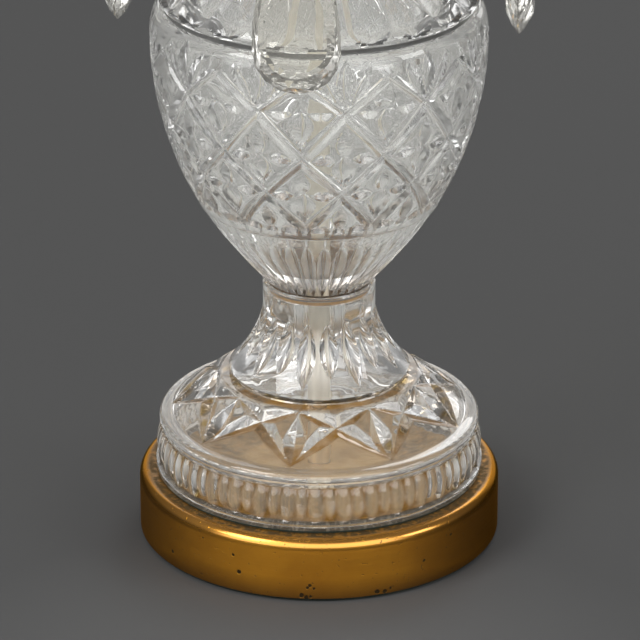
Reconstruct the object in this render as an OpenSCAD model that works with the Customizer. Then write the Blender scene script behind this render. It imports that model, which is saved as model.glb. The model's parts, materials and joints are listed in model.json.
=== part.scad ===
/* [Base] */
// Radius of the brass base
base_r = 85; // [80:0.5:95]
// Height of the brass base shell
base_h = 29.5; // [26:0.5:36]
// Radius of the base's rounded top edge
base_edge_r = 4.5; // [2:0.5:7]
// Wall of the spun brass
base_wall = 1.4; // [1:0.1:2.4]
// Thickness of the felt under the base
felt_t = 1.5; // [1:0.1:3]
// How far the felt stays inside the brass edge
felt_inset = 1.6; // [1:0.1:4]
// Thickness of the pressed board that closes the base
board_t = 2.5; // [2:0.1:4]
// Radius of the cast-iron weight
weight_r = 58; // [40:1:74]
// Thickness of the cast-iron weight
weight_t = 12; // [8:0.5:14]

/* [Tie rod] */
// Radius of the threaded tie rod
rod_r = 5; // [4:0.1:5.5]
// Free gap round the rod in the pieces that it draws together
rod_gap = 0.4; // [0.2:0.05:0.8]
// Thickness of the washer under the weight
rod_washer_t = 2; // [1:0.1:3]
// Radius of the washer under the weight
rod_washer_r = 14; // [11:0.5:20]
// Height of the hexagon nut
rod_nut_t = 7; // [5:0.5:8]
// Corner radius of the hexagon nut
rod_nut_r = 9.8; // [8.5:0.1:11]
// How far the rod stands out of the nut
rod_end = 2; // [1:0.5:3]

/* [Crystal foot] */
// How far the urn's belly stands out past the foot's edge
belly_overhang = 0.2; // [0:0.1:3]
// Thickness of the felt ring under the foot
foot_felt_t = 0.8; // [0.5:0.1:1.5]
// Height of the plain edge ring at the bottom
foot_edge_h = 3.6; // [2:0.2:5]
// Height of the band of flutes
foot_band_h = 19; // [16:0.5:22]
// Height of the smooth ridge above the flutes
foot_ridge_h = 6; // [4:0.5:8]
// How far the dome's edge lies inside the foot's edge
foot_dome_inset = 7.5; // [6:0.1:10]
// Rise of the star-cut dome
foot_dome_h = 19; // [15:0.5:22]
// Radius of the dome at its upper end
foot_dome_top_r = 46; // [43.5:0.5:50]
// Radius of the rim under the flared cone
foot_rim_r = 42.4; // [38:0.2:43]
// Height of the step under that rim
foot_step_h = 3.4; // [2:0.2:5]
// Height of the flared cone
foot_cone_h = 29.6; // [24:0.2:36]
// Radius of the plain waist band
waist_r = 26.3; // [22:0.1:30]
// Height of the plain waist band
waist_h = 13.6; // [9:0.2:18]
// Depth of the seat for the urn in the waist band
waist_seat_h = 4; // [3:0.2:6]
// Wall of the waist band round that seat
waist_lip = 2; // [1.5:0.1:3]
// Wall of the foot at its edge
foot_wall = 9; // [6:0.5:12]
// Radius of the bore through the waist
waist_bore_r = 7.4; // [6.5:0.1:9]
// Height of the hollow's top above the rim
foot_hollow_h = 10; // [6:0.5:14]
// Thickness of the washer between foot and urn
waist_washer_t = 1.5; // [1:0.1:2.5]

/* [Urn] */
// Radius of the urn's belly
bowl_r = 77.2; // [72:0.2:82]
// Radius of the line above the flutes
bowl_line_r = 55.2; // [50:0.2:58]
// Radius of the mouth's lip
bowl_lip_r = 73.6; // [70:0.2:76]
// Height of the fluted lower part
bowl_low_h = 43.5; // [38:0.5:48]
// Height from the flutes to the belly
bowl_mid_h = 80; // [72:0.5:90]
// Height from the belly to the lip
bowl_lip_h = 15; // [12:0.5:18]
// Wall of the urn
bowl_wall = 6.5; // [5:0.1:9]
// Thickness of the urn's floor
bowl_floor = 15; // [12:0.5:18]
// Thickness of the ring in the seam
seam_t = 2; // [1.5:0.1:3]
// How far the seam ring lies inside the lip
seam_inset = 2.2; // [1.5:0.1:3.5]
// Height of the cover's shoulder
cover_h = 67; // [56:1:76]
// Radius of the cover's neck
neck_r = 23.5; // [20:0.5:27]
// Height of the moulded ring on the neck
neck_ring_h = 13; // [10:0.5:16]
// Wall of the cover
cover_wall = 6; // [5:0.1:8]

/* [Cuts in the crystal] */
// Wide flutes round the foot's band, with a narrow one between each two
band_flutes = 36; // [18:2:40]
// Depth between the band's flutes
band_cut = 1.1; // [0.6:0.1:1.6]
// Leaves in the star round the dome
star_points = 9; // [6:1:12]
// Angle of the star from the front, in degrees
star_turn = -5; // [-20:1:20]
// Depth of the star's leaves
star_cut = 1.6; // [0.8:0.1:2]
// Depth of the leaf flutes on the cone
cone_cut = 1.6; // [0.8:0.1:2]
// Flutes round the lower urn
low_flutes = 40; // [24:1:48]
// Depth of those flutes
low_cut = 1.2; // [0.6:0.1:1.6]
// Diamonds in one row of the lattice
lattice_count = 12; // [8:1:14]
// Depth of the lattice's mitre bands
lattice_cut = 1.5; // [0.8:0.1:2]
// Depth of the olive in each diamond
olive_cut = 0.9; // [0.4:0.1:1.4]
// Flutes round the cover's shoulder
petals = 20; // [12:1:24]
// Depth of those flutes
petal_cut = 1.3; // [0.6:0.1:1.8]

/* [Hub and arms] */
// Thickness of the washer on the cover
neck_washer_t = 1; // [0.5:0.1:2]
// Height of the brass cap on the neck
neck_cap_h = 6; // [5:0.5:9]
// Radius of the arm hub
hub_r = 16; // [14:0.5:19]
// Height of the arm hub
hub_h = 22; // [19:0.5:26]
// Corner radius of the eight-sided glass arms
arm_r = 6; // [5:0.1:6.5]
// Distance from the axis to where the bend of an arm starts
arm_root = 31; // [29:0.5:36]
// How far an arm sinks to its lowest point
arm_drop = 18; // [12:0.5:22]
// How far an arm runs on level from its root
arm_root_run = 20; // [12:1:24]
// How far an arm runs level before and after its lowest point
arm_low_run = 23.5; // [16:0.5:28]
// How far an arm runs straight up at its end
arm_tip_run = 35; // [24:1:44]
// Distance from the axis to the candles
arm_reach = 150; // [135:1:170]
// Height of an arm's end above its lowest point
arm_rise = 53; // [44:1:62]
// How far a sleeve's stud screws into the hub
stud_in = 6; // [4:0.5:7]
// Wall of the brass sleeves on the arms
sleeve_wall = 1.6; // [1.2:0.1:2.4]
// Gap between a glass arm and its brass sleeve
sleeve_gap = 0.4; // [0.2:0.05:0.7]

/* [Candle cups] */
// Radius of the drip pans
pan_r = 42; // [38:0.5:46]
// Radius of a drip pan's flat floor
pan_floor_r = 14; // [12.5:0.5:18]
// Thickness of a drip pan's floor
pan_floor_t = 4; // [3:0.1:5]
// How far the brass end piece grips an arm
tip_grip = 6; // [4:0.5:9]
// Height of the brass end piece between an arm and its pan
tip_h = 10; // [7:0.5:14]
// Thickness of a drip pan at its rim
pan_t = 3.5; // [3:0.1:3.8]
// Rise of a drip pan from its middle to its rim
pan_rise = 8; // [5:0.5:10]
// Radius of the candle bore
candle_r = 11.25; // [10.5:0.05:12.5]
// Depth of the candle bore
candle_depth = 20; // [16:1:26]
// Wall of a candle cup
cup_wall = 1.6; // [1.2:0.1:2.4]
// Height of the stem under a candle cup
cup_stem_h = 10; // [8:0.5:14]
// Radius of the foot under a candle cup
cup_foot_r = 10; // [8:0.5:12]
// Radius of the stem under a candle cup
cup_stem_r = 6.5; // [5:0.5:8]
// Radius of the threaded stud that holds a pan and its cup
stud_r = 3; // [2.5:0.1:3.5]

/* [Drops] */
// Distance from the axis to the large drops
drop_circle_r = 91.4; // [88:0.2:98]
// Length of a large drop
drop_l = 76; // [66:1:84]
// Width of a large drop
drop_w = 39; // [32:0.5:44]
// Thickness of a large drop
drop_t = 12; // [9:0.5:14]
// Length of a small drop
small_drop_l = 37; // [30:0.5:44]
// Width of a small drop
small_drop_w = 17; // [13:0.5:20]
// Thickness of a small drop
small_drop_t = 7; // [6:0.5:9]
// Middle radius of the wire rings that carry the drops
ring_r = 5; // [4.8:0.1:5.4]
// Radius of the wire of a large drop's ring
ring_wire_r = 0.8; // [0.6:0.05:0.9]
// Radius of the wire of a small drop's ring
small_wire_r = 0.5; // [0.4:0.05:0.6]

/* [Finial] */
// Height of the crystal finial
finial_h = 88; // [70:1:110]
// Radius of the crystal finial
finial_r = 17; // [13:0.5:22]
// Height of the brass seat under the finial
seat_h = 12; // [10:0.5:15]

/* [Hidden] */
SIDES = ["front", "right", "back", "left"];
SIDE_ANGLES = [-90, 0, 90, 180];
fit_gap = 0.3;
thread_gap = 0.05;
curve_steps = 10;
round_fn = 96;
wire_fn = 24;
small_drops = 5;
arm_sides = 8;
arm_steps = 8;
end_t = 0.5;
sink_gap = 0.7;
inside_gap = 0.2;
foot_r = bowl_r - belly_overhang;

// Heights of the stack, from the felt up
board_z = felt_t;
base_top = felt_t + base_h;
weight_z = base_top - base_wall - weight_t;
rod_nut_z = weight_z - rod_washer_t - rod_nut_t;
foot_z = base_top + foot_felt_t;
band_z = foot_z + foot_edge_h;
ridge_z = band_z + foot_band_h;
dome_z = ridge_z + foot_ridge_h;
rim_z = dome_z + foot_dome_h + foot_step_h;
waist_z = rim_z + foot_cone_h;
foot_top = waist_z + waist_h;
seat_z = foot_top - waist_seat_h;
bowl_z = seat_z + waist_washer_t;
line_z = bowl_z + bowl_low_h;
belly_z = line_z + bowl_mid_h;
lip_z = belly_z + bowl_lip_h;
cover_z = lip_z + seam_t;
neck_z = cover_z + cover_h;
cover_top = neck_z + neck_ring_h;
cap_z = cover_top + neck_washer_t;
hub_z = cap_z + neck_cap_h;
arm_z = hub_z + hub_h / 2;
finial_seat_z = hub_z + hub_h;
rod_top = finial_seat_z + seat_h / 2 - fit_gap;

// Radii that follow from their neighbours
rod_hole_r = rod_r + rod_gap;
board_r = base_r - base_wall - fit_gap;
urn_foot_r = waist_r - waist_lip - fit_gap;
mouth_r = bowl_lip_r - bowl_wall;
spigot_r = mouth_r - fit_gap;
spigot_h = 4;
cover_roof = 12;
sleeve_bore_r = arm_r + sleeve_gap;
sleeve_r = sleeve_bore_r + sleeve_wall;

// The arm's path in its own plane: distance from the axis, then height
arm_start = hub_r + 4;
arm_low_z = arm_z - arm_drop;
arm_tip_z = arm_low_z + arm_rise;
arm_path = concat(
    [[arm_start, arm_z]],
    bezier([arm_root, arm_z], [arm_root + arm_root_run, arm_z],
        [drop_circle_r - arm_low_run, arm_low_z], [drop_circle_r, arm_low_z], arm_steps),
    tail(bezier([drop_circle_r, arm_low_z], [arm_reach - arm_low_run, arm_low_z],
        [arm_reach, arm_tip_z - arm_tip_run], [arm_reach, arm_tip_z], arm_steps)));

// Where the drops hang
lug_t = 2.4;
lug_hole_r = 1.6;
lug_wall = 1.4;
collar_w = 6;
lug_z = arm_low_z - sleeve_r - lug_hole_r - lug_wall;
drop_pivot_z = lug_z - 2 * ring_r;
drop_head_r = 4.3;
drop_hole_r = 1.7;
pan_z = arm_tip_z + tip_h + fit_gap;
pan_rim_z = pan_z + pan_rise + pan_t / 2;
pan_hole_in = 4.5;
pan_hole_r = 1.1;
small_pivot_r = pan_r - pan_hole_in + ring_r;
small_pivot_z = pan_rim_z - ring_r;
small_head_r = 2.6;
small_hole_r = 1.3;

// The candle cup stands on the pan
cup_z = pan_z + pan_floor_t;
cup_floor_z = cup_z + cup_stem_h;
cup_top = cup_floor_z + candle_depth;
stud_end = 3;
tip_flange = 2.5;
finial_pin_r = 8;
stud_top = cup_z + cup_stem_h - stud_end;

// Curves and outlines
function mix4(a, b, c, d, t) =
    pow(1 - t, 3) * a + 3 * pow(1 - t, 2) * t * b + 3 * (1 - t) * t * t * c + pow(t, 3) * d;
function bezier(a, b, c, d, steps = curve_steps) =
    [for (i = [0:steps]) mix4(a, b, c, d, i / steps)];
function tail(p) = [for (i = [1:len(p) - 1]) p[i]];
function unit(v) = v / norm(v);
function tangent(p, i) = unit(p[min(i + 1, len(p) - 1)] - p[max(i - 1, 0)]);
function inset(p, wall) =
    [for (i = [0:len(p) - 1]) let (d = tangent(p, i)) p[i] + wall * [-d[1], d[0]]];
function reversed(p) = [for (i = [len(p) - 1:-1:0]) p[i]];

// Outer lines of the three glass bodies, from the bottom up
dome_r = foot_r - foot_dome_inset;
band_line = [[foot_r, band_z], [foot_r - 0.4, mix(band_z, ridge_z, 0.5)], [foot_r - 1.2, ridge_z - 1.4],
    [foot_r - 2.6, ridge_z]];
foot_cone_line = bezier(
    [foot_rim_r, rim_z],
    [mix(foot_rim_r, waist_r, 0.41), rim_z + 0.21 * foot_cone_h],
    [mix(foot_rim_r, waist_r, 0.87), rim_z + 0.6 * foot_cone_h],
    [waist_r, waist_z]);
bowl_low_line = bezier(
    [urn_foot_r + 0.4, bowl_z + 3.5],
    [mix(urn_foot_r, bowl_line_r, 0.39), bowl_z + 0.37 * bowl_low_h],
    [mix(urn_foot_r, bowl_line_r, 0.73), bowl_z + 0.68 * bowl_low_h],
    [bowl_line_r, line_z]);
bowl_mid_line = bezier(
    [bowl_line_r, line_z],
    [mix(bowl_line_r, bowl_r, 0.62), line_z + 0.28 * bowl_mid_h],
    [bowl_r, line_z + 0.66 * bowl_mid_h],
    [bowl_r, belly_z]);
bowl_lip_line = bezier(
    [bowl_r, belly_z],
    [bowl_r, belly_z + 0.47 * bowl_lip_h],
    [mix(bowl_lip_r, bowl_r, 0.67), belly_z + 0.83 * bowl_lip_h],
    [bowl_lip_r, lip_z], 5);
bowl_belly_line = concat(bowl_mid_line, tail(bowl_lip_line));
cover_line = bezier(
    [bowl_lip_r - 0.8, cover_z + 3],
    [mix(neck_r, bowl_lip_r, 0.89), cover_z + 0.2 * cover_h],
    [mix(neck_r, bowl_lip_r, 0.09), cover_z + 0.42 * cover_h],
    [neck_r, neck_z]);

// Heights between which each band of cuts lies
cone_low = rim_z + 2;
cone_high = waist_z - 0.6;
low_low = bowl_z + 5;
low_high = line_z - 2;
lattice_rows = [for (f = [1.06, 0.86, 0.57, 0.33, 0.08]) line_z + f * bowl_mid_h];
lattice_high = lattice_rows[0] + 1;
lattice_low = lattice_rows[4] - 1;
cover_low = cover_z + 4;
cover_high = neck_z - 4;

foot_line = concat(
    [[foot_r - 1, foot_z], [foot_r, foot_z + 1], [foot_r, band_z]],
    sunk(band_line, band_z, ridge_z, band_cut + sink_gap),
    [[foot_r - 2.8, ridge_z], [foot_r - 2, ridge_z + 2], [foot_r - 3, ridge_z + 4.2], [foot_r - 5.2, dome_z],
     [dome_r - 3.5, dome_z], [foot_dome_top_r - 1.4, dome_z + foot_dome_h - 1.9],
     [foot_rim_r - 1.2, rim_z - foot_step_h + 0.3], [foot_rim_r, rim_z - 1.4]],
    upto(foot_cone_line, cone_low),
    sunk(foot_cone_line, cone_low, cone_high, cone_cut + sink_gap),
    from(foot_cone_line, cone_high),
    [[waist_r, foot_top]]);
bowl_line = concat(
    upto(bowl_low_line, low_low),
    sunk(bowl_low_line, low_low, low_high, low_cut + sink_gap),
    from(bowl_low_line, low_high),
    tail(upto(bowl_belly_line, lattice_low)),
    sunk(bowl_belly_line, lattice_low, lattice_high, lattice_cut + sink_gap),
    from(bowl_belly_line, lattice_high));
cover_outline = concat(
    upto(cover_line, cover_low),
    sunk(cover_line, cover_low, cover_high, petal_cut + sink_gap),
    from(cover_line, cover_high));

// The radius of a line that only rises, at a height, and its parts below, above and between heights
function line_r(line, z) = lookup(z, [for (p = line) [p[1], p[0]]]);
function upto(line, z) = concat([for (p = line) if (p[1] < z) p], [[line_r(line, z), z]]);
function from(line, z) = concat([[line_r(line, z), z]], [for (p = line) if (p[1] > z) p]);
function sunk(line, low, high, depth) =
    concat([[line_r(line, low) - depth, low]],
        [for (p = line) if (p[1] > low && p[1] < high) [p[0] - depth, p[1]]],
        [[line_r(line, high) - depth, high]]);
function mix(a, b, t) = a + (b - a) * t;

// The angle or length from the nearest multiple of a pitch
function wrap(a, pitch) = a - pitch * round(a / pitch);

// A band of cuts: rings of [radius, height] points round the axis from the front, with a flat cap at each end.
// rising says for each cell by which of its diagonals it is split
module cut_band(rows, rising = function (i, j) true) {
    n = len(rows[0]);
    last = (len(rows) - 1) * n;
    polyhedron(
        points = [for (row = rows) each [for (j = [0:n - 1]) let (a = 360 * j / n - 90)
            [row[j][0] * cos(a), row[j][0] * sin(a), row[j][1]]]],
        faces = concat(
            [[for (j = [0:n - 1]) j]],
            [for (i = [0:len(rows) - 2], j = [0:n - 1])
                let (a = i * n + j, b = i * n + (j + 1) % n, c = b + n, d = a + n)
                each rising(i, j) ? [[a, c, b], [a, d, c]] : [[a, d, b], [b, d, c]]],
            [[for (j = [n - 1:-1:0]) last + j]]));
}

// True for a cell of row i under column j that the second of two crossing sets of lines passes nearer
function crossing(i, j, pitch) = abs(wrap(i + 1 + j, pitch)) <= abs(wrap(j - i, pitch));

// One ring of a band: the same radius all round, less a depth for each column
function ring(n, r, z, depth = function (j) 0) = [for (j = [0:n - 1]) [r - depth(j), z]];

// The foot's band: lens flutes, wide and narrow in turn, on four columns a pitch
module foot_band_cuts() {
    n = 4 * band_flutes;
    narrow_low = mix(band_z, ridge_z, 0.17);
    narrow_high = mix(band_z, ridge_z, 0.93);
    wide_low = mix(band_z, ridge_z, 0.05);
    between = function (j) j % 2 == 1 ? band_cut : 0;
    wide_only = function (j) j % 4 == 2 ? 0 : band_cut;
    cut_band([
        ring(n, foot_r - inside_gap, band_z - end_t, wide_only),
        ring(n, line_r(band_line, wide_low), wide_low, wide_only),
        ring(n, line_r(band_line, narrow_low), narrow_low, between),
        ring(n, line_r(band_line, narrow_high), narrow_high, between),
        ring(n, foot_r - 2.6 - band_cut, ridge_z + end_t)],
        function (i, j) (i + j) % 2 == 0);
}

// The star: a leaf straight down from each point, and one to each of the two points beside it
module star_cuts() {
    steps = 8;
    n = steps * star_points;
    turn = round(star_turn * n / 360);
    square_to_dome = unit([foot_dome_h, dome_r - foot_dome_top_r]);
    near = function (i, j) min(abs(wrap(j - i, steps)), abs(wrap(j + i, steps)));
    side_half = function (i) sin(180 * i / steps);
    depth = function (i, j) max(
        abs(wrap(j, steps)) < 0.5 ? star_cut * sin(180 * i / steps) : 0,
        star_cut * max(0, side_half(i) - near(i, j)));
    top = [foot_dome_top_r, dome_z + foot_dome_h];
    edge = [dome_r, dome_z] + end_t * unit([dome_r, dome_z] - top);
    cut_band(concat(
        [ring(n, dome_r - 3.5, dome_z - 3)],
        [for (i = [steps:-1:0]) [for (j = [0:n - 1])
            mix(top, edge, i / steps) - depth(i, j - turn) * square_to_dome]]),
        function (i, j) crossing(steps - i, j - turn, steps));
}

// The cone: long leaf flutes in line with the star, short ones between them
module cone_cuts() {
    columns = 4;
    n = 2 * star_points * columns;
    levels = [0.05, 0.16, 0.3, 0.5, 0.75, 0.97];
    short_from = levels[1];
    turn = round(star_turn * n / 360);
    cut_band(concat(
        [ring(n, line_r(foot_cone_line, cone_low - end_t) - inside_gap, cone_low - end_t)],
        [for (u = levels) let (z = mix(cone_low, cone_high, u))
            ring(n, line_r(foot_cone_line, z), z, function (j) let (
                k = wrap(j - turn, columns), long = wrap(j - turn, 2 * columns) == k,
                t = long ? u : (u - short_from) / (1 - short_from))
                k == 0 && t > 0 && t < 1 ? cone_cut * sin(180 * pow(t, 0.8)) : 0)],
        [ring(n, line_r(foot_cone_line, cone_high + end_t) - inside_gap, cone_high + end_t)]),
        function (i, j) wrap(j + 0.5 - turn, columns) > 0);
}

// The lower urn: lens flutes side by side
module low_cuts() {
    n = 2 * low_flutes;
    levels = [0.04, 0.25, 0.5, 0.75, 0.9];
    cut_band(concat(
        [ring(n, line_r(bowl_low_line, low_low) - low_cut - sink_gap, low_low - end_t)],
        [for (u = levels) let (z = mix(low_low, low_high, u))
            ring(n, line_r(bowl_low_line, z), z, function (j) j % 2 == 0 ? low_cut * sin(180 * u) : 0)],
        [ring(n, line_r(bowl_low_line, low_high), low_high + end_t)]),
        function (i, j) j % 2 == 0);
}

// The lattice: mitre bands along the diagonals of its cells, with an olive in the middle of each diamond
module lattice_cuts() {
    steps = 4;
    n = 2 * steps * lattice_count;
    rows = 4 * steps;
    depth = function (i, j) let (first = abs(wrap(j - i, 2 * steps)), second = abs(wrap(j + i, 2 * steps)),
            side = min(first, second), far = max(first, second))
        side == 0 ? lattice_cut : far == steps && side == steps ? olive_cut :
        abs(first - second) == 0 && first == steps - 1 ? olive_cut / 2 : 0;
    cut_band(concat(
        [ring(n, line_r(bowl_belly_line, lattice_low) - lattice_cut - sink_gap, lattice_low - end_t)],
        [for (i = [rows:-1:0]) let (q = i / steps, k = min(floor(q), 3),
                z = mix(lattice_rows[k], lattice_rows[k + 1], q - k))
            ring(n, line_r(bowl_belly_line, z), z, function (j) depth(i, j))],
        [ring(n, line_r(bowl_belly_line, lattice_high) - lattice_cut, lattice_high + end_t)]),
        function (i, j) crossing(rows - i, j, 2 * steps));
}

// The shoulder: hollow flutes that end in petals
module petal_cuts() {
    columns = 4;
    n = columns * petals;
    levels = [0.02, 0.07, 0.2, 0.4, 0.65, 0.9];
    cut_band(concat(
        [ring(n, line_r(cover_line, cover_low) - petal_cut - sink_gap, cover_low - end_t)],
        [for (u = levels) let (z = mix(cover_low, cover_high, u), wide = line_r(cover_line, z) / bowl_lip_r)
            ring(n, line_r(cover_line, z), z, function (j)
                petal_cut * wide * min(1, 9 * u) * [1, 0.7, 0, 0.7][j % columns])],
        [ring(n, line_r(cover_line, cover_high) - petal_cut, cover_high + end_t)]),
        function (i, j) j % columns < columns / 2);
}

module round_body(outline) {
    rotate_extrude($fn = round_fn) polygon(outline);
}

module disc(r, h, z) {
    translate([0, 0, z]) cylinder(r = r, h = h, $fn = round_fn);
}

module rod_hole(z, h, r = rod_hole_r) {
    translate([0, 0, z - 1]) cylinder(r = r, h = h + 2, $fn = 48);
}

module at_side(i) {
    rotate([0, 0, SIDE_ANGLES[i]]) children();
}

module at_candle(i) {
    at_side(i) translate([arm_reach, 0, 0]) children();
}

module felt_pad() {
    color("darkslategray") disc(base_r - felt_inset, felt_t, 0);
}

module base_board() {
    color("saddlebrown") disc(board_r, board_t, board_z);
}

// The corner is a true quarter round, outside and inside
module cap_section(r, h, edge) {
    square([r - edge, h]);
    square([r, h - edge]);
    translate([r - edge, h - edge]) circle(r = edge, $fn = 48);
}

module base_cap() {
    color("goldenrod") translate([0, 0, felt_t]) difference() {
        rotate_extrude($fn = round_fn) difference() {
            intersection() {
                cap_section(base_r, base_h, base_edge_r);
                square([base_r, base_h]);
            }
            translate([0, -1]) intersection() {
                cap_section(base_r - base_wall, base_h - base_wall + 1, base_edge_r - base_wall / 2);
                square([base_r, base_h + 1]);
            }
        }
        rod_hole(0, base_h);
    }
}

module base_weight() {
    color("dimgray") difference() {
        disc(weight_r, weight_t, weight_z);
        rod_hole(weight_z, weight_t);
    }
}

module tie_rod() {
    rod_z = rod_nut_z - rod_end;
    color("silver") disc(rod_r, rod_top - rod_z, rod_z);
}

module rod_washer() {
    z = rod_nut_z + rod_nut_t;
    color("silver") difference() {
        disc(rod_washer_r, rod_washer_t, z);
        rod_hole(z, rod_washer_t);
    }
}

module rod_nut() {
    color("silver") difference() {
        translate([0, 0, rod_nut_z]) cylinder(r = rod_nut_r, h = rod_nut_t, $fn = 6);
        rod_hole(rod_nut_z, rod_nut_t, rod_r + thread_gap);
    }
}

module foot_gasket() {
    color("darkslategray") difference() {
        disc(foot_r - 1, foot_felt_t, base_top);
        rod_hole(base_top, foot_felt_t, foot_r - foot_wall + 1);
    }
}

// The hollow follows the foot's outside and ends in the waist's bore
module crystal_foot() {
    cavity_r = foot_r - foot_wall;
    cavity_line = concat(
        [[0, foot_z - 1], [cavity_r, foot_z - 1], [cavity_r, ridge_z - 4]],
        bezier([cavity_r, ridge_z - 4], [cavity_r - 2, ridge_z + 2],
            [foot_dome_top_r - 8, dome_z + 0.75 * foot_dome_h],
            [foot_rim_r - 12, rim_z - foot_step_h]),
        [[foot_rim_r / 2, rim_z + foot_hollow_h / 2], [waist_bore_r + 4, rim_z + foot_hollow_h - 1],
         [0, rim_z + foot_hollow_h]]);
    color("lightcyan", 0.5) difference() {
        union() {
            round_body(concat([[0, foot_z]], foot_line, [[0, foot_top]]));
            foot_band_cuts();
            star_cuts();
            cone_cuts();
        }
        round_body(cavity_line);
        disc(waist_r - waist_lip, waist_seat_h + 1, seat_z);
        rod_hole(rim_z, foot_top - rim_z, waist_bore_r);
    }
}

module waist_washer() {
    color("goldenrod") difference() {
        disc(urn_foot_r - 1, waist_washer_t, seat_z);
        rod_hole(seat_z, waist_washer_t);
    }
}

module urn_bowl() {
    outer = concat([[0, bowl_z], [urn_foot_r, bowl_z]], bowl_line, [[0, lip_z]]);
    inner_wall = inset(concat(tail(bowl_mid_line), tail(bowl_lip_line)), bowl_wall);
    inner = concat(
        [[0, bowl_z + bowl_floor], [urn_foot_r, bowl_z + bowl_floor + 0.5],
         [mix(urn_foot_r, bowl_line_r - bowl_wall, 0.6), bowl_z + 0.7 * bowl_low_h]],
        [for (p = inner_wall) if (p[1] < lip_z - spigot_h - 2) p],
        [[mouth_r, lip_z - spigot_h - 1], [mouth_r, lip_z + 1], [0, lip_z + 1]]);
    color("lightcyan", 0.5) difference() {
        union() {
            round_body(outer);
            low_cuts();
            lattice_cuts();
        }
        round_body(inner);
        rod_hole(bowl_z, bowl_floor);
    }
}

module seam_ring() {
    color("gray") difference() {
        disc(bowl_lip_r - seam_inset, seam_t, lip_z);
        rod_hole(lip_z, seam_t, mouth_r + fit_gap);
    }
}

module urn_cover() {
    outer = concat(
        [[0, cover_z], [bowl_lip_r - seam_inset, cover_z], [bowl_lip_r - 0.4, cover_z + 1.6]],
        cover_outline,
        [[neck_r, neck_z + 1], [neck_r + 2, neck_z + 3], [neck_r + 2, neck_z + neck_ring_h - 6],
         [neck_r - 1.5, neck_z + neck_ring_h - 3], [neck_r - 1.5, cover_top], [0, cover_top]]);
    inner = concat(
        [[0, cover_z - spigot_h - 1], [spigot_r - cover_wall, cover_z - spigot_h - 1],
         [spigot_r - cover_wall, cover_z]],
        [for (p = inset(cover_line, cover_wall))
            if (p[0] < spigot_r - cover_wall && p[1] < neck_z - cover_roof - 2) p],
        [[rod_hole_r, neck_z - cover_roof], [0, neck_z - cover_roof]]);
    color("lightcyan", 0.5) difference() {
        union() {
            round_body(outer);
            petal_cuts();
            disc(spigot_r, spigot_h + 1, cover_z - spigot_h);
        }
        round_body(inner);
        rod_hole(neck_z - cover_roof, cover_top - neck_z + cover_roof);
    }
}

module neck_washer() {
    color("saddlebrown") difference() {
        disc(neck_r - 3, neck_washer_t, cover_top);
        rod_hole(cover_top, neck_washer_t);
    }
}

module neck_cap() {
    color("goldenrod") difference() {
        round_body([[0, cap_z], [neck_r - 1.5, cap_z], [neck_r - 0.5, cap_z + 1.5],
            [neck_r - 3, cap_z + 3], [hub_r + 1, cap_z + neck_cap_h], [0, cap_z + neck_cap_h]]);
        rod_hole(cap_z, neck_cap_h);
    }
}

module arm_hub() {
    color("goldenrod") difference() {
        round_body([[0, hub_z], [hub_r - 1, hub_z], [hub_r, hub_z + 1], [hub_r, hub_z + hub_h - 1],
            [hub_r - 1, hub_z + hub_h], [0, hub_z + hub_h]]);
        rod_hole(hub_z, hub_h);
        for (i = [0:3]) at_side(i) translate([hub_r - stud_in - 1, 0, arm_z]) rotate([0, 90, 0])
            cylinder(r = stud_r + thread_gap, h = stud_in + 2, $fn = 32);
    }
}

// A turned brass sleeve with a stub that screws into the hub
module arm_sleeve() {
    translate([0, 0, arm_z]) rotate([0, 90, 0]) {
        translate([0, 0, hub_r - stud_in]) cylinder(r = stud_r, h = stud_in + 1, $fn = 32);
        difference() {
            translate([0, 0, hub_r]) cylinder(r = sleeve_r, h = arm_root - hub_r - 1, $fn = 48);
            translate([0, 0, arm_start - fit_gap]) cylinder(r = sleeve_bore_r, h = arm_root, $fn = 48);
        }
    }
}

module arm_sleeves() {
    color("goldenrod") for (i = [0:3]) at_side(i) arm_sleeve();
}

function arm_ring(i, turn) =
    let (p = arm_path[i], d = tangent(arm_path, i))
    [for (k = [0:arm_sides - 1]) let (a = 360 * k / arm_sides + turn)
        [p[0] - arm_r * cos(a) * d[1], arm_r * sin(a), p[1] + arm_r * cos(a) * d[0]]];

module glass_arm() {
    rings = len(arm_path);
    n = arm_sides;
    last = n * (rings - 1);
    polyhedron(
        points = [for (i = [0:rings - 1]) each arm_ring(i, 180 / n)],
        faces = concat(
            [[for (k = [0:n - 1]) k]],
            [for (i = [0:rings - 2], k = [0:n - 1]) let (a = n * i + k, b = n * i + (k + 1) % n)
                each [[b, a, a + n], [b, a + n, b + n]]],
            [[for (k = [n - 1:-1:0]) last + k]]));
}

module arm(i) {
    color("lightcyan", 0.5) at_side(i) glass_arm();
}

// A brass band at the arm's lowest point, with the eye that carries a large drop
module drop_collar() {
    lug_r = lug_hole_r + lug_wall;
    difference() {
        union() {
            translate([drop_circle_r - collar_w / 2, 0, arm_low_z]) rotate([0, 90, 0])
                cylinder(r = sleeve_r, h = collar_w, $fn = 48);
            translate([drop_circle_r - lug_t / 2, -lug_r, lug_z])
                cube([lug_t, 2 * lug_r, arm_low_z - lug_z - sleeve_bore_r + sleeve_wall / 2]);
            translate([drop_circle_r - lug_t / 2, 0, lug_z]) rotate([0, 90, 0])
                cylinder(r = lug_r, h = lug_t, $fn = 48);
        }
        translate([drop_circle_r - collar_w, 0, arm_low_z]) rotate([0, 90, 0])
            cylinder(r = sleeve_bore_r, h = 2 * collar_w, $fn = 48);
        translate([drop_circle_r - collar_w, 0, lug_z]) rotate([0, 90, 0])
            cylinder(r = lug_hole_r, h = 2 * collar_w, $fn = 32);
    }
}

module drop_collars() {
    color("goldenrod") for (i = [0:3]) at_side(i) drop_collar();
}

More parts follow.
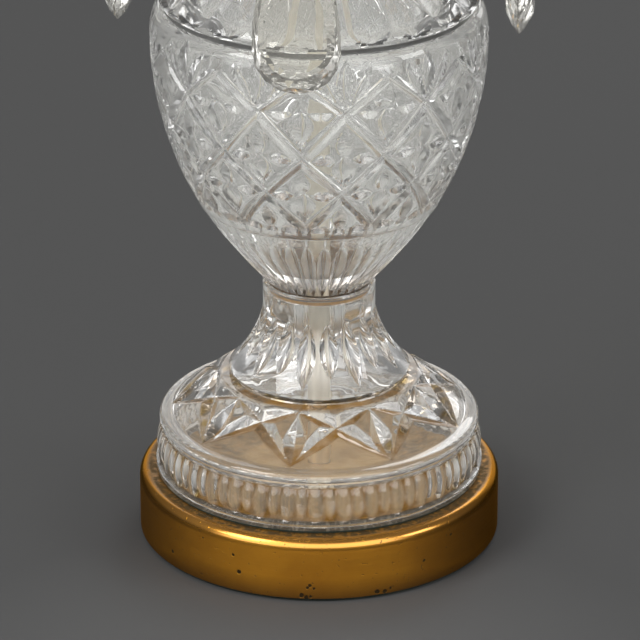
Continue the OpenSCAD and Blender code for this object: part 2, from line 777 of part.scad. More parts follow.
// The sleeve on an arm's end, with the stud for the pan and the cup
module arm_tip() {
    top = pan_z - fit_gap;
    difference() {
        union() {
            translate([0, 0, arm_tip_z - tip_grip]) cylinder(r = sleeve_r, h = tip_h + tip_grip, $fn = 48);
            translate([0, 0, top - tip_flange]) cylinder(r = sleeve_r + tip_flange, h = tip_flange, $fn = 48);
            translate([0, 0, top - 1]) cylinder(r = stud_r, h = stud_top - top + 1, $fn = 32);
        }
        translate([0, 0, arm_tip_z - tip_grip - 1])
            cylinder(r = sleeve_bore_r, h = tip_grip + 1 + fit_gap, $fn = 48);
    }
}

module arm_tips() {
    color("goldenrod") for (i = [0:3]) at_candle(i) arm_tip();
}

// A shallow glass dish with a hole for each ring
module drip_pan(i) {
    rim_top = pan_z + pan_rise + pan_t;
    color("lightcyan", 0.5) at_candle(i) difference() {
        round_body([[0, pan_z], [pan_floor_r, pan_z], [pan_r - 5, pan_z + pan_rise - 1],
            [pan_r - 1, pan_z + pan_rise], [pan_r, pan_z + pan_rise + pan_t / 2],
            [pan_r - 1, rim_top], [pan_r - 6, rim_top - 0.5],
            [pan_floor_r, pan_z + pan_floor_t], [0, pan_z + pan_floor_t]]);
        rod_hole(pan_z, pan_floor_t, stud_r + fit_gap);
        for (k = [1:small_drops]) at_pan_drop(k)
            translate([pan_r - pan_hole_in, 0, pan_z]) cylinder(r = pan_hole_r, h = 2 * pan_rise, $fn = 24);
    }
}

module candle_cup(i) {
    rim_r = candle_r + cup_wall;
    color("goldenrod") at_candle(i) difference() {
        round_body([[0, cup_z], [cup_foot_r, cup_z], [cup_foot_r, cup_z + cup_wall],
            [cup_stem_r, cup_z + 0.35 * cup_stem_h], [cup_stem_r, cup_z + 0.55 * cup_stem_h],
            [rim_r, cup_floor_z - cup_wall], [rim_r, cup_top - 2 * cup_wall],
            [rim_r + 2 * cup_wall, cup_top - cup_wall], [rim_r + 2 * cup_wall, cup_top], [0, cup_top]]);
        translate([0, 0, cup_floor_z]) cylinder(r = candle_r, h = candle_depth + 1, $fn = 64);
        translate([0, 0, cup_z - 1]) cylinder(r = stud_r + thread_gap, h = stud_top - cup_z + 1.5, $fn = 32);
    }
}

module at_pan_drop(k) {
    rotate([0, 0, 360 / small_drops * (k - 1)]) children();
}

// Ring of wire that stands across the drop, its lowest point on the drop's hole
module wire_ring(wire) {
    translate([0, 0, ring_r]) rotate([90, 0, 0])
        rotate_extrude($fn = 64) translate([ring_r, 0]) circle(r = wire, $fn = wire_fn);
}

module drop_rings() {
    color("gold") for (i = [0:3]) at_side(i)
        translate([drop_circle_r, 0, drop_pivot_z]) wire_ring(ring_wire_r);
}

module pan_rings() {
    color("gold") for (i = [0:3]) at_candle(i) for (k = [1:small_drops]) at_pan_drop(k)
        translate([small_pivot_r, 0, small_pivot_z]) wire_ring(small_wire_r);
}

// Half width of a drop at a height above its tip: a round end that tapers to the head
function drop_half_width(s, l, w, head) =
    let (r = w / 2, u = (s - r) / (l - r))
    s < r ? sqrt(max(0, r * r - (r - s) * (r - s))) :
    s > l - head ? sqrt(max(0, head * head - pow(s - l + head, 2))) :
    max(head, r * (1 - pow(u, 2.6)));

// One side of the outline, tip to head, then the other side back down
function drop_side(l, w, head, n) =
    let (r = w / 2)
    concat(
        [for (i = [0:n]) let (a = 90 * i / n) [r * sin(a), r - r * cos(a)]],
        [for (i = [1:n]) let (s = r + (l - head - r) * i / n) [drop_half_width(s, l, w, head), s]],
        [[0.7 * head, l - 0.3 * head]]);
function drop_outline(l, w, head, n) =
    let (side = drop_side(l, w, head, n))
    concat(side, [[0, l]], [for (p = reversed(tail(side))) [-p[0], p[1]]]);

// Rings of facets from the front table over the girdle to the back table. A ring with shift 1 has its points
// midway between those of its neighbours, which makes the facets triangles and kites
module cut_drop(l, w, t, head, hole, n) {
    line = drop_outline(l, w, head, n);
    count = len(line);
    centre = 0.42 * l;
    levels = [[0.74, 0.5, 0], [0.89, 0.31, 1], [1, 0, 0], [0.89, -0.31, 1], [0.74, -0.5, 0]];
    points = [for (v = levels) each [for (k = [0:count - 1])
        let (p = v[2] == 1 ? (line[k] + line[(k + 1) % count]) / 2 : line[k])
        [t * v[1], p[0] * v[0], centre + (p[1] - centre) * v[0] - l + head]]];
    difference() {
        polyhedron(
            points = points,
            faces = concat(
                [[for (k = [count - 1:-1:0]) k]],
                [for (j = [0:len(levels) - 2], k = [0:count - 1])
                    let (a = j * count + k, b = j * count + (k + 1) % count)
                    each levels[j][2] >= levels[j + 1][2] ?
                        [[a, b, b + count], [a, b + count, a + count]] :
                        [[a, b, a + count], [b, b + count, a + count]]],
                [[for (k = [0:count - 1]) (len(levels) - 1) * count + k]]));
        rotate([0, 90, 0]) cylinder(r = hole, h = 2 * t, center = true, $fn = 32);
    }
}

module large_drop(i) {
    color("lightcyan", 0.6) at_side(i) translate([drop_circle_r, 0, drop_pivot_z])
        cut_drop(drop_l, drop_w, drop_t, drop_head_r, drop_hole_r, 4);
}

module small_drop(i, k) {
    color("lightcyan", 0.6) at_candle(i) at_pan_drop(k) translate([small_pivot_r, 0, small_pivot_z])
        cut_drop(small_drop_l, small_drop_w, small_drop_t, small_head_r, small_hole_r, 2);
}

module finial_seat() {
    z = finial_seat_z;
    color("goldenrod") difference() {
        round_body([[0, z], [12, z], [13.5, z + 2], [12, z + 4], [9, z + 5.5],
            [11, z + seat_h - 2], [11, z + seat_h], [0, z + seat_h]]);
        rod_hole(z, seat_h / 2 - 1, rod_r + thread_gap);
        disc(finial_pin_r + fit_gap, seat_h, z + seat_h / 2);
    }
}

module finial() {
    z = finial_seat_z + seat_h;
    h = finial_h;
    color("lightcyan", 0.6) union() {
        disc(finial_pin_r, seat_h / 2 - fit_gap + 1, z - seat_h / 2 + fit_gap);
        rotate_extrude($fn = 12) polygon([[0, z], [9.5, z], [9.5, z + 0.04 * h], [6.5, z + 0.09 * h],
            [0.75 * finial_r, z + 0.17 * h], [finial_r, z + 0.28 * h], [0.9 * finial_r, z + 0.37 * h],
            [0.45 * finial_r, z + 0.46 * h], [0.42 * finial_r, z + 0.5 * h], [0.62 * finial_r, z + 0.6 * h],
            [0.5 * finial_r, z + 0.74 * h], [0.2 * finial_r, z + 0.92 * h], [0, z + h]]);
    }
}

felt_pad();
base_board();
base_cap();
base_weight();
tie_rod();
rod_washer();
rod_nut();
foot_gasket();
crystal_foot();
waist_washer();
urn_bowl();
seam_ring();
urn_cover();
neck_washer();
neck_cap();
arm_hub();
arm_sleeves();
drop_collars();
arm_tips();
finial_seat();
finial();
drop_rings();
pan_rings();
for (i = [0:3]) {
    arm(i);
    drip_pan(i);
    candle_cup(i);
    large_drop(i);
    for (k = [1:small_drops])
        small_drop(i, k);
}
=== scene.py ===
"""Crystal candelabrum: a cut-glass foot, urn and cover on a brass base, with glass arms, pans and hanging drops."""
import json
import math

import bmesh
import bpy
import numpy as np
from bpy.props import FloatProperty, FloatVectorProperty, IntProperty, PointerProperty
from mathutils import Matrix, Vector


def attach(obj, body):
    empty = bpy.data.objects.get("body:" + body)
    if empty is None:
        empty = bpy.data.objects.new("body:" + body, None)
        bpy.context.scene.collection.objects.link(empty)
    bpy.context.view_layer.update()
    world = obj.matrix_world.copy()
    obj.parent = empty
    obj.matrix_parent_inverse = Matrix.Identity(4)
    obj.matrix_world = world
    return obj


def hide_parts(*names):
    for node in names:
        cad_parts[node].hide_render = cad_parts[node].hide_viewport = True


bl_info = {
    "name": "Crystal candelabrum",
    "version": (1, 0, 0),
    "blender": (4, 5, 0),
    "location": "3D View > Sidebar > Candelabrum",
    "description": "Builds the cut glass and the brass of a crystal candelabrum on its packed frame",
    "category": "Object",
}

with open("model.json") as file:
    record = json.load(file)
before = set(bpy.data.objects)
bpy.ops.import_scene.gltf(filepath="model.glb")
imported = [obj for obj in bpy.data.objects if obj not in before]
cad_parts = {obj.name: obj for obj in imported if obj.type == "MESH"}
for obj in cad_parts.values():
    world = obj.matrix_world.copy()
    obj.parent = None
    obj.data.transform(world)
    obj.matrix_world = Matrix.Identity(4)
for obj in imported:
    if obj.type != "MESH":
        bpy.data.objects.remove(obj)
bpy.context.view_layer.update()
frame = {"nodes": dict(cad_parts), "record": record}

MM = 0.001
STAND = "stand"
CREASE_DEG = 30.0


# Outlines, in millimetres: distance from the axis, then height

def bezier(a, b, c, d, steps):
    """A cubic curve: the weights of its four points are (1-t)^3, 3(1-t)^2 t, 3(1-t) t^2 and t^3."""
    t = np.linspace(0, 1, steps + 1)[:, None]
    a, b, c, d = (np.array(p, float) for p in (a, b, c, d))
    return (1 - t) ** 3 * a + 3 * (1 - t) ** 2 * t * b + 3 * (1 - t) * t * t * c + t ** 3 * d


def spaced(line, steps):
    """Points at equal distances along a bent line."""
    line = np.array(line, float)
    along = np.concatenate([[0], np.cumsum(np.hypot(*np.diff(line, axis=0).T))])
    at = np.linspace(0, along[-1], steps + 1)
    return np.stack([np.interp(at, along, line[:, 0]), np.interp(at, along, line[:, 1])], 1)


def at_heights(line, heights):
    """Points of a line that only rises, at given heights."""
    line = np.array(line, float)
    heights = np.array(heights, float)
    return np.stack([np.interp(heights, line[:, 1], line[:, 0]), heights], 1)


# Heights: the brass base, the foot, the urn and the cover
FELT_Z, BASE_TOP = 1.5, 31.0
FOOT_Z, BAND_Z, RIDGE_Z, DOME_Z, RIM_Z, WAIST_Z, SEAT_Z, FOOT_TOP = 31.8, 35.4, 54.4, 60.4, 82.8, 112.4, 122.0, 126.0
BOWL_Z, LINE_Z, BELLY_Z, LIP_Z = 123.5, 167.0, 247.0, 262.0
COVER_Z, NECK_Z, COVER_TOP = 264.0, 331.0, 344.0
# Radii
BASE_R = 85.0
FOOT_R, RIM_R, WAIST_R, SEAT_R, WAIST_HOLE_R = 77.0, 42.4, 26.3, 24.3, 7.4
BOWL_FOOT_R, LINE_R, BELLY_R, LIP_R, NECK_R, ROD_HOLE_R = 24.0, 55.2, 77.2, 73.6, 23.5, 5.4
# Depths of the cuts
LENS_DEPTH, CONE_DEPTH, LOW_DEPTH, BAND_DEPTH = 2.0, 2.4, 2.2, 1.9
# Heights of the rows of the lattice's nodes, from the top
NODE_ROWS = (251.8, 235.8, 212.6, 193.4, 173.4)

CONE_LINE = bezier((RIM_R, RIM_Z), (35.8, 89.0), (28.4, 100.6), (WAIST_R, WAIST_Z), 40)
LOW_LINE = bezier((24.4, 127.0), (36.2, 139.6), (46.8, 153.1), (LINE_R, LINE_Z), 40)
MID_LINE = bezier((LINE_R, LINE_Z), (68.8, 189.4), (BELLY_R, 219.8), (BELLY_R, BELLY_Z), 60)
LIP_LINE = bezier((BELLY_R, BELLY_Z), (BELLY_R, 254.1), (76.0, 259.5), (LIP_R, LIP_Z), 12)
COVER_LINE = bezier((LIP_R - 0.8, COVER_Z + 3), (68.1, 277.4), (28.0, 292.1), (NECK_R, NECK_Z), 60)


# Meshes

def round_grid(radius, height, split=None):
    """A closed body round the Z axis. Ring i, point j lies at radius[i, j] and height[i, j], at the azimuth
    360 j / n degrees from the front, and the last ring joins the first. split says for each cell whether it is
    cut along its rising diagonal."""
    rows, count = radius.shape
    turn = 2 * np.pi * np.arange(count) / count - np.pi / 2
    points = np.stack([radius * np.cos(turn), radius * np.sin(turn), height], -1).reshape(-1, 3)
    i, j = np.meshgrid(np.arange(rows), np.arange(count), indexing="ij")
    up, over = (i + 1) % rows, (j + 1) % count
    a, b, c, d = i * count + j, i * count + over, up * count + over, up * count + j
    rising = (np.ones((rows, count), bool) if split is None else split)[..., None]
    first = np.where(rising, np.stack([a, b, c], -1), np.stack([a, b, d], -1))
    second = np.where(rising, np.stack([a, c, d], -1), np.stack([b, c, d], -1))
    return points, np.concatenate([first.reshape(-1, 3), second.reshape(-1, 3)])


def cut_into(line, depth):
    """Moves each ring of an outline inwards, square to it, by depth[ring, point]."""
    run = np.gradient(line, axis=0)
    run /= np.hypot(run[:, 0], run[:, 1])[:, None]
    return line[:, :1] - depth * run[:, 1:], line[:, 1:] + depth * run[:, :1]


def lens(across, half):
    """A round-bottomed cut 1 deep: 1 - (across / half)^2, never under 0."""
    return np.clip(1 - (across / np.maximum(half, 1e-6)) ** 2, 0, None)


def leaf_outline(x, y, start, end, width, belly):
    """Where points lie in a leaf. t runs from 0 at the start to 1 at the end, off is the distance from the line
    between them, and the half width is width * sin(pi t^p), widest at t = belly."""
    (sx, sy), (ex, ey) = start, end
    dx, dy = ex - sx, ey - sy
    size = math.hypot(dx, dy)
    t = np.clip(((x - sx) * dx + (y - sy) * dy) / size ** 2, 0, 1)
    off = np.abs((x - sx) * dy - (y - sy) * dx) / size
    return t, off, width * np.sin(np.pi * t ** (math.log(0.5) / math.log(belly)))


def leaf(x, y, start, end, width, slope, belly=0.5):
    """A mitre cut: its depth is slope times the distance inside the leaf's edge."""
    _, off, half = leaf_outline(x, y, start, end, width, belly)
    return slope * np.clip(half - off, 0, None)


def hollow(x, y, start, end, width, depth, belly=0.5):
    """A smooth cut with a sharp edge all round: its depth is depth * lens(off, half) * sin(pi t)^0.4."""
    t, off, half = leaf_outline(x, y, start, end, width, belly)
    return depth * lens(off, half) * np.clip(np.sin(np.pi * t), 0, 1) ** 0.4


def wrap(angle, pitch):
    """The angle from the nearest multiple of the pitch, from -pitch/2 to pitch/2."""
    return (angle + pitch / 2) % pitch - pitch / 2


def add_piece(name, points, faces, material, node, slot, **marks):
    """Makes one closed mesh from arrays, smooth up to the crease angle, in a CAD node's place on the stand. marks
    are amounts from 0 to 1 for every point, kept as attributes that the material reads: worn, and stain, which is
    partly grime and partly painted gold."""
    mesh = bpy.data.meshes.new(name)
    mesh.from_pydata(np.asarray(points) * MM, [], faces)
    for label, amount in marks.items():
        mesh.attributes.new(label, "FLOAT", "POINT").data.foreach_set("value", amount.ravel())
    bm = bmesh.new()
    bm.from_mesh(mesh)
    bmesh.ops.remove_doubles(bm, verts=bm.verts, dist=1e-7)
    bmesh.ops.dissolve_degenerate(bm, edges=bm.edges, dist=1e-7)
    bm.to_mesh(mesh)
    bm.free()
    mesh.shade_smooth()
    mesh.set_sharp_from_angle(angle=math.radians(CREASE_DEG))
    piece = bpy.data.objects.new(name, mesh)
    bpy.context.scene.collection.objects.link(piece)
    mesh.materials.append(material)
    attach(piece, STAND)
    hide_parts(node)


def rings(*parts):
    """Joins outline sections, each a list of points and the cut into it, into arrays of radius and height."""
    r, z = zip(*(cut_into(np.array(line, float), depth) for line, depth in parts))
    return np.concatenate(r), np.concatenate(z)


def edges(*parts):
    """How much of an edge each point is: the jump in the cut's slope there, along the outline and round the axis,
    from 0 at a jump of 0.5 to 1 at 1.1."""
    found = []
    for line, depth in parts:
        line = np.array(line, float)
        jump = np.abs(np.roll(depth, 1, 1) + np.roll(depth, -1, 1) - 2 * depth)
        jump /= 2 * np.pi * line[:, :1] / depth.shape[1]
        if len(line) > 2:
            step = np.hypot(*np.diff(line, axis=0).T)[1:, None]
            jump[1:-1] += np.abs(depth[2:] + depth[:-2] - 2 * depth[1:-1]) / np.maximum(step, 0.2)
        found.append(np.clip((jump - 0.5) / 0.6, 0, 1))
    return np.concatenate(found)


def stains(parts, amounts):
    """One amount from 0 to 1 for every point of the parts, from a number or an array for each part."""
    return np.vstack([np.zeros(part[1].shape) + amount for part, amount in zip(parts, amounts)])


def plain(line, count):
    """An outline section with no cut: a depth of 0 everywhere."""
    return np.array(line, float), np.zeros((len(line), count))


# Materials

def new_group(name, inputs, outputs):
    group = bpy.data.node_groups.new(name, "ShaderNodeTree")
    for label, kind, value in inputs:
        socket = group.interface.new_socket(name=label, in_out="INPUT", socket_type=kind)
        socket.default_value = value
    for label, kind in outputs:
        group.interface.new_socket(name=label, in_out="OUTPUT", socket_type=kind)
    return group


def put(tree, kind, inputs=(), **properties):
    """Adds a node, sets its properties and feeds its inputs, each from a socket or with a plain value."""
    item = tree.nodes.new(kind)
    for key, value in properties.items():
        setattr(item, key, value)
    for socket, value in inputs:
        if isinstance(value, bpy.types.NodeSocket):
            tree.links.new(value, item.inputs[socket])
        else:
            item.inputs[socket].default_value = value
    return item


def math_node(tree, operation, a, b=0.5):
    return put(tree, "ShaderNodeMath", [(0, a), (1, b)], operation=operation).outputs[0]


def times(tree, a, b):
    return math_node(tree, "MULTIPLY", a, b)


def highest(tree, first, *others):
    """The largest of some values."""
    for other in others:
        first = math_node(tree, "MAXIMUM", first, other)
    return first


def vector_node(tree, operation, a, b=(0.0, 0.0, 0.0)):
    """The outcome of a vector operation: a number for LENGTH and DISTANCE, otherwise a vector."""
    outputs = put(tree, "ShaderNodeVectorMath", [(0, a), (1, b)], operation=operation).outputs
    return outputs["Value" if operation in ("LENGTH", "DISTANCE") else "Vector"]


def ramp(tree, value, low, high, from_value=0.0, to_value=1.0):
    """from_value where the value is low, to_value where it is high, even in between and held outside."""
    return put(tree, "ShaderNodeMapRange", [("Value", value), ("From Min", low), ("From Max", high),
               ("To Min", from_value), ("To Max", to_value)], clamp=True).outputs["Result"]


def blend_colour(tree, factor, a, b):
    """Colour a at factor 0 and colour b at factor 1. Inputs 6 and 7 of a Mix node are its colours."""
    return put(tree, "ShaderNodeMix", [(0, factor), (6, a), (7, b)], data_type="RGBA").outputs[2]


def object_place(tree):
    """Each point's place in its own object, in metres."""
    return put(tree, "ShaderNodeTexCoord").outputs["Object"]


def noise(tree, where, scale, detail, roughness=0.5):
    """Cloudy noise from 0 to 1."""
    return put(tree, "ShaderNodeTexNoise", [("Vector", where), ("Scale", scale), ("Detail", detail),
               ("Roughness", roughness)]).outputs["Fac"]


def mark(tree, label):
    """An amount that add_piece kept for every point of a piece."""
    return put(tree, "ShaderNodeAttribute", attribute_name=label, attribute_type="GEOMETRY").outputs["Fac"]


def bump(tree, strength, distance, height):
    """The normal of a surface that rises with a height from 0 to 1, times the distance in metres."""
    return put(tree, "ShaderNodeBump", [("Strength", strength), ("Distance", distance),
               ("Height", height)]).outputs["Normal"]


def principled(tree, colour, roughness, *inputs):
    return put(tree, "ShaderNodeBsdfPrincipled", [("Base Color", colour), ("Roughness", roughness), *inputs]).outputs[0]


def grime_group():
    """Patches and specks: broad noise for the patches, fine noise above a threshold for the specks."""
    group = new_group("Grime", [("Patch Scale", "NodeSocketFloat", 30.0), ("Speck Scale", "NodeSocketFloat", 900.0),
                                ("Speck Share", "NodeSocketFloat", 0.3)],
                      [("Patches", "NodeSocketFloat"), ("Specks", "NodeSocketFloat")])
    enter, leave = group.nodes.new("NodeGroupInput").outputs, group.nodes.new("NodeGroupOutput").inputs
    where = object_place(group)
    broad = noise(group, where, enter["Patch Scale"], 6.0, 0.6)
    fine = noise(group, where, enter["Speck Scale"], 2.0)
    edge = math_node(group, "SUBTRACT", 1.0, enter["Speck Share"])
    group.links.new(ramp(group, broad, 0.35, 0.7), leave["Patches"])
    group.links.new(ramp(group, fine, edge, math_node(group, "ADD", edge, 0.06)), leave["Specks"])
    return group


def crystal_wear_and_gold_group():
    """The surface of the cut crystal: faint waves, frost on the edges that are marked as worn, and a cloudy blend from
    the glass's colour to a brown-gold tint where it is marked: partly grime in the cuts, partly painted gold that
    stands in for brass seen through the glass."""
    group = new_group("Crystal wear and painted gold", [("Glass", "NodeSocketColor", (1.0, 1.0, 1.0, 1.0)),
                                       ("Stain and painted gold", "NodeSocketColor", (0.5, 0.3, 0.1, 1.0)),
                                       ("Ripple", "NodeSocketFloat", 0.1), ("Frost", "NodeSocketFloat", 0.1)],
                      [("Colour", "NodeSocketColor"), ("Roughness", "NodeSocketFloat"),
                       ("Normal", "NodeSocketVector")])
    enter, leave = group.nodes.new("NodeGroupInput").outputs, group.nodes.new("NodeGroupOutput").inputs
    where = object_place(group)
    cloud = ramp(group, noise(group, where, 140.0, 4.0), 0.30, 0.60, 0.45, 1.0)
    # The tint: partly grime in the cuts, partly painted gold that stands in for brass seen through the glass.
    colour = blend_colour(group, times(group, mark(group, "stain"), cloud), enter["Glass"], enter["Stain and painted gold"])
    group.links.new(colour, leave["Colour"])
    group.links.new(ramp(group, mark(group, "worn"), 0.0, 1.0, 0.015, enter["Frost"]), leave["Roughness"])
    group.links.new(bump(group, enter["Ripple"], 0.002, noise(group, where, 70.0, 2.0)), leave["Normal"])
    return group


def new_material(name):
    material = bpy.data.materials.new(name)
    material.use_nodes = True
    material.node_tree.nodes.clear()
    return material.node_tree


def finish_material(tree, shader):
    put(tree, "ShaderNodeOutputMaterial", [("Surface", shader)])


def crystal_material(name, look, wear, colour):
    """Clear lead crystal with frosted cut edges and a brown-gold tint where a piece is marked, partly grime and partly
    painted gold that stands in for brass seen through the glass: it bends light, and lets the lamps through so that its
    shadow stays pale."""
    tree = new_material(name)
    marks = put(tree, "ShaderNodeGroup", [("Glass", (*colour, 1.0)), ("Stain and painted gold", (*look.stain_colour, 1.0)),
                ("Ripple", look.glass_ripple), ("Frost", look.edge_frost)], node_tree=wear).outputs
    glass = principled(tree, marks["Colour"], marks["Roughness"], ("IOR", 1.54),
                       ("Transmission Weight", look.glass_clear), ("Normal", marks["Normal"]))
    clear = put(tree, "ShaderNodeBsdfTransparent", [("Color", (0.93, 0.93, 0.92, 1.0))]).outputs[0]
    shadow = put(tree, "ShaderNodeLightPath").outputs["Is Shadow Ray"]
    finish_material(tree, put(tree, "ShaderNodeMixShader", [(0, shadow), (1, glass), (2, clear)]).outputs[0])


def from_axis(tree, where):
    """The distance from the Z axis."""
    return vector_node(tree, "LENGTH", vector_node(tree, "MULTIPLY", where, (1.0, 1.0, 0.0)))


def grime_marks(tree, grime, patch_scale, speck_scale, speck_share):
    """Places the grime group. Its outputs are Patches and Specks."""
    return put(tree, "ShaderNodeGroup", [("Patch Scale", patch_scale), ("Speck Scale", speck_scale),
               ("Speck Share", speck_share)], node_tree=grime).outputs


def brass_material(name, grime, colour, dark, rough, pits):
    """Aged brass: warmer and darker patches, dark specks and small pits."""
    tree = new_material(name)
    marks = grime_marks(tree, grime, 26.0, 420.0, pits)
    base = blend_colour(tree, marks["Patches"], (*colour, 1.0), (*dark, 1.0))
    spotted = blend_colour(tree, marks["Specks"], base, (0.035, 0.02, 0.008, 1.0))
    roughness = ramp(tree, marks["Patches"], 0.0, 1.0, rough, rough + 0.14)
    normal = bump(tree, 0.5, 0.0004, times(tree, marks["Specks"], -1.0))
    finish_material(tree, principled(tree, spotted, roughness, ("Metallic", 1.0), ("Normal", normal)))


# Pits and chips of the base: azimuth from the front in degrees, height and radius in millimetres
BASE_MARKS = ((-19.5, 11.4, 0.9), (-21.5, 19.4, 0.7), (-33.0, 23.6, 0.55), (3.4, 8.6, 0.7), (4.2, 9.8, 0.5),
              (2.6, 7.4, 0.6), (4.6, 7.0, 0.4), (0.8, 3.4, 0.9), (2.2, 2.4, 0.8), (3.6, 3.0, 0.6),
              (24.5, 3.2, 0.9), (27.0, 2.8, 0.8), (29.0, 4.0, 0.5), (41.0, 14.0, 0.5), (-47.0, 9.0, 0.6),
              (52.0, 22.0, 0.6), (112.0, 12.0, 0.8), (171.0, 6.0, 0.9), (-128.0, 17.0, 0.7))


def base_brass_material(look, grime):
    """The base's brass. Radius and height place its wear: dust where the glass covers it, a grimy flat round the
    glass, a rubbed bright edge, turning lines, pits and chips. Painted shade darkens it towards the sides and the foot."""
    tree = new_material("Turned base brass")
    where = object_place(tree)
    radius = from_axis(tree, where)
    parts = put(tree, "ShaderNodeSeparateXYZ", [(0, where)]).outputs
    marks = grime_marks(tree, grime, 20.0, 520.0, 0.33)
    clean = blend_colour(tree, marks["Patches"], (*look.brass_colour, 1.0), (*look.brass_dark, 1.0))

    # Painted shade: darker towards the left and right sides (along X) and towards the foot. worn is the clean brass
    # with this painted shade, and the lacquer thins on the shaded sides.
    side = ramp(tree, math_node(tree, "ABSOLUTE", parts["X"]), 0.050, 0.086)
    low = ramp(tree, parts["Z"], 0.012, 0.0015)
    painted_shade = highest(tree, times(tree, side, 0.9), times(tree, low, 0.8))
    worn = blend_colour(tree, painted_shade, clean, (0.075, 0.030, 0.006, 1.0))

    smear = noise(tree, where, 260.0, 5.0, 0.7)
    flat = ramp(tree, radius, 0.0822, 0.0800)
    grimy = times(tree, flat, ramp(tree, smear, 0.26, 0.52))
    dirty = blend_colour(tree, grimy, worn, (0.045, 0.028, 0.012, 1.0))

    cloud = noise(tree, where, 60.0, 5.0, 0.6)
    middle = times(tree, ramp(tree, radius, 0.0420, 0.0340), ramp(tree, cloud, 0.28, 0.42, 0.55, 1.0))
    ring = times(tree, ramp(tree, radius, 0.0740, 0.0700), ramp(tree, cloud, 0.35, 0.60, 0.15, 0.75))
    dusty = highest(tree, times(tree, middle, 0.85), ring)
    dust = blend_colour(tree, ramp(tree, cloud, 0.3, 0.7), (0.56, 0.405, 0.205, 1.0), (0.32, 0.20, 0.08, 1.0))
    covered = blend_colour(tree, dusty, dirty, dust)

    pits = []
    for turn, height, size in BASE_MARKS:
        a = math.radians(turn)
        centre = (BASE_R * MM * math.sin(a), -BASE_R * MM * math.cos(a), height * MM)
        ragged = math_node(tree, "ADD", vector_node(tree, "DISTANCE", where, centre),
                           ramp(tree, smear, 0.2, 0.8, -0.0007, 0.0007))
        pits.append(ramp(tree, ragged, 1.45 * size * MM, size * MM))
    specks = times(tree, marks["Specks"], ramp(tree, flat, 0.0, 1.0, 0.55, 1.0))
    holes = highest(tree, *pits, times(tree, specks, ramp(tree, dusty, 0.0, 1.0, 0.9, 0.0)))
    colour = blend_colour(tree, holes, covered, (0.022, 0.013, 0.006, 1.0))

    lines = noise(tree, vector_node(tree, "MULTIPLY", where, (14.0, 14.0, 2600.0)), 1.0, 3.0)
    normal = bump(tree, 0.6, 0.0003, math_node(tree, "SUBTRACT", times(tree, lines, 0.05), holes))
    dull = highest(tree, grimy, dusty, holes)
    satin = ramp(tree, parts["Z"], 0.0285, 0.0255, 0.20, 0.52)
    smooth = highest(tree, satin, ramp(tree, dull, 0.0, 1.0, 0.20, 0.62))
    roughness = math_node(tree, "ADD", smooth, ramp(tree, lines, 0.35, 0.65, -0.03, 0.05))
    metallic = ramp(tree, dull, 0.0, 1.0, 1.0, 0.55)
    lacquer = ramp(tree, highest(tree, dull, side), 0.0, 1.0, 0.85, 0.0)
    finish_material(tree, principled(tree, colour, roughness, ("Metallic", metallic), ("Normal", normal),
                                     ("Coat Weight", lacquer), ("Coat Roughness", 0.15),
                                     ("Specular Tint", (0.95, 0.66, 0.28, 1.0))))


def plain_material(name, grime, colour, dark, rough, metallic=0.0, bump_height=0.0002, scale=600.0):
    """A dull surface with patches of a second colour and a fine grain."""
    tree = new_material(name)
    marks = grime_marks(tree, grime, 60.0, scale, 0.45)
    base = blend_colour(tree, marks["Patches"], (*colour, 1.0), (*dark, 1.0))
    normal = bump(tree, 0.6, bump_height, marks["Specks"])
    finish_material(tree, principled(tree, base, rough, ("Metallic", metallic), ("Normal", normal)))


def ring_felt_material():
    """The felt under the glass: dark at its bare edge, pale with glue and dust where the ground glass covers it."""
    tree = new_material("Felt ring")
    where = object_place(tree)
    cloud = ramp(tree, noise(tree, where, 90.0, 4.0), 0.35, 0.65)
    pale = blend_colour(tree, cloud, (0.42, 0.39, 0.33, 1.0), (0.24, 0.20, 0.14, 1.0))
    covered = ramp(tree, from_axis(tree, where), 0.0757, 0.0749)
    colour = blend_colour(tree, covered, (0.012, 0.022, 0.016, 1.0), pale)
    finish_material(tree, principled(tree, colour, 0.95))


def materials(look):
    """All finishes by name, made on the first call."""
    if "Cut crystal" in bpy.data.materials:
        return {m.name: m for m in bpy.data.materials}
    grime, wear = grime_group(), crystal_wear_and_gold_group()
    crystal_material("Cut crystal", look, wear, look.glass_colour)
    crystal_material("Drop crystal", look, wear, look.drop_colour)
    brass_material("Aged brass", grime, (0.60, 0.335, 0.075), (0.42, 0.205, 0.036), 0.24, 0.30)
    brass_material("Brass wire", grime, (0.80, 0.60, 0.26), (0.60, 0.40, 0.14), 0.2, 0.2)
    base_brass_material(look, grime)
    plain_material("Bright plate", grime, (0.93, 0.89, 0.80), (0.86, 0.80, 0.68), 0.36, metallic=1.0,
                   bump_height=0.00005)
    plain_material("Zinc steel", grime, (0.55, 0.55, 0.53), (0.38, 0.38, 0.37), 0.35, metallic=1.0)
    plain_material("Cast iron", grime, (0.06, 0.06, 0.06), (0.10, 0.09, 0.08), 0.7, bump_height=0.0006)
    plain_material("Dark felt", grime, (0.012, 0.022, 0.016), (0.03, 0.035, 0.028), 0.95, bump_height=0.0008,
                   scale=1500.0)
    ring_felt_material()
    plain_material("Pressed board", grime, (0.22, 0.14, 0.07), (0.28, 0.19, 0.10), 0.85)
    plain_material("Soft gasket", grime, (0.17, 0.17, 0.165), (0.11, 0.11, 0.105), 0.3)
    return {m.name: m for m in bpy.data.materials}


def dress(node, material):
    """Gives a CAD node that keeps its shape its finish."""
    mesh = frame["nodes"][node].data
    mesh.materials.clear()
    mesh.materials.append(material)


# Settings

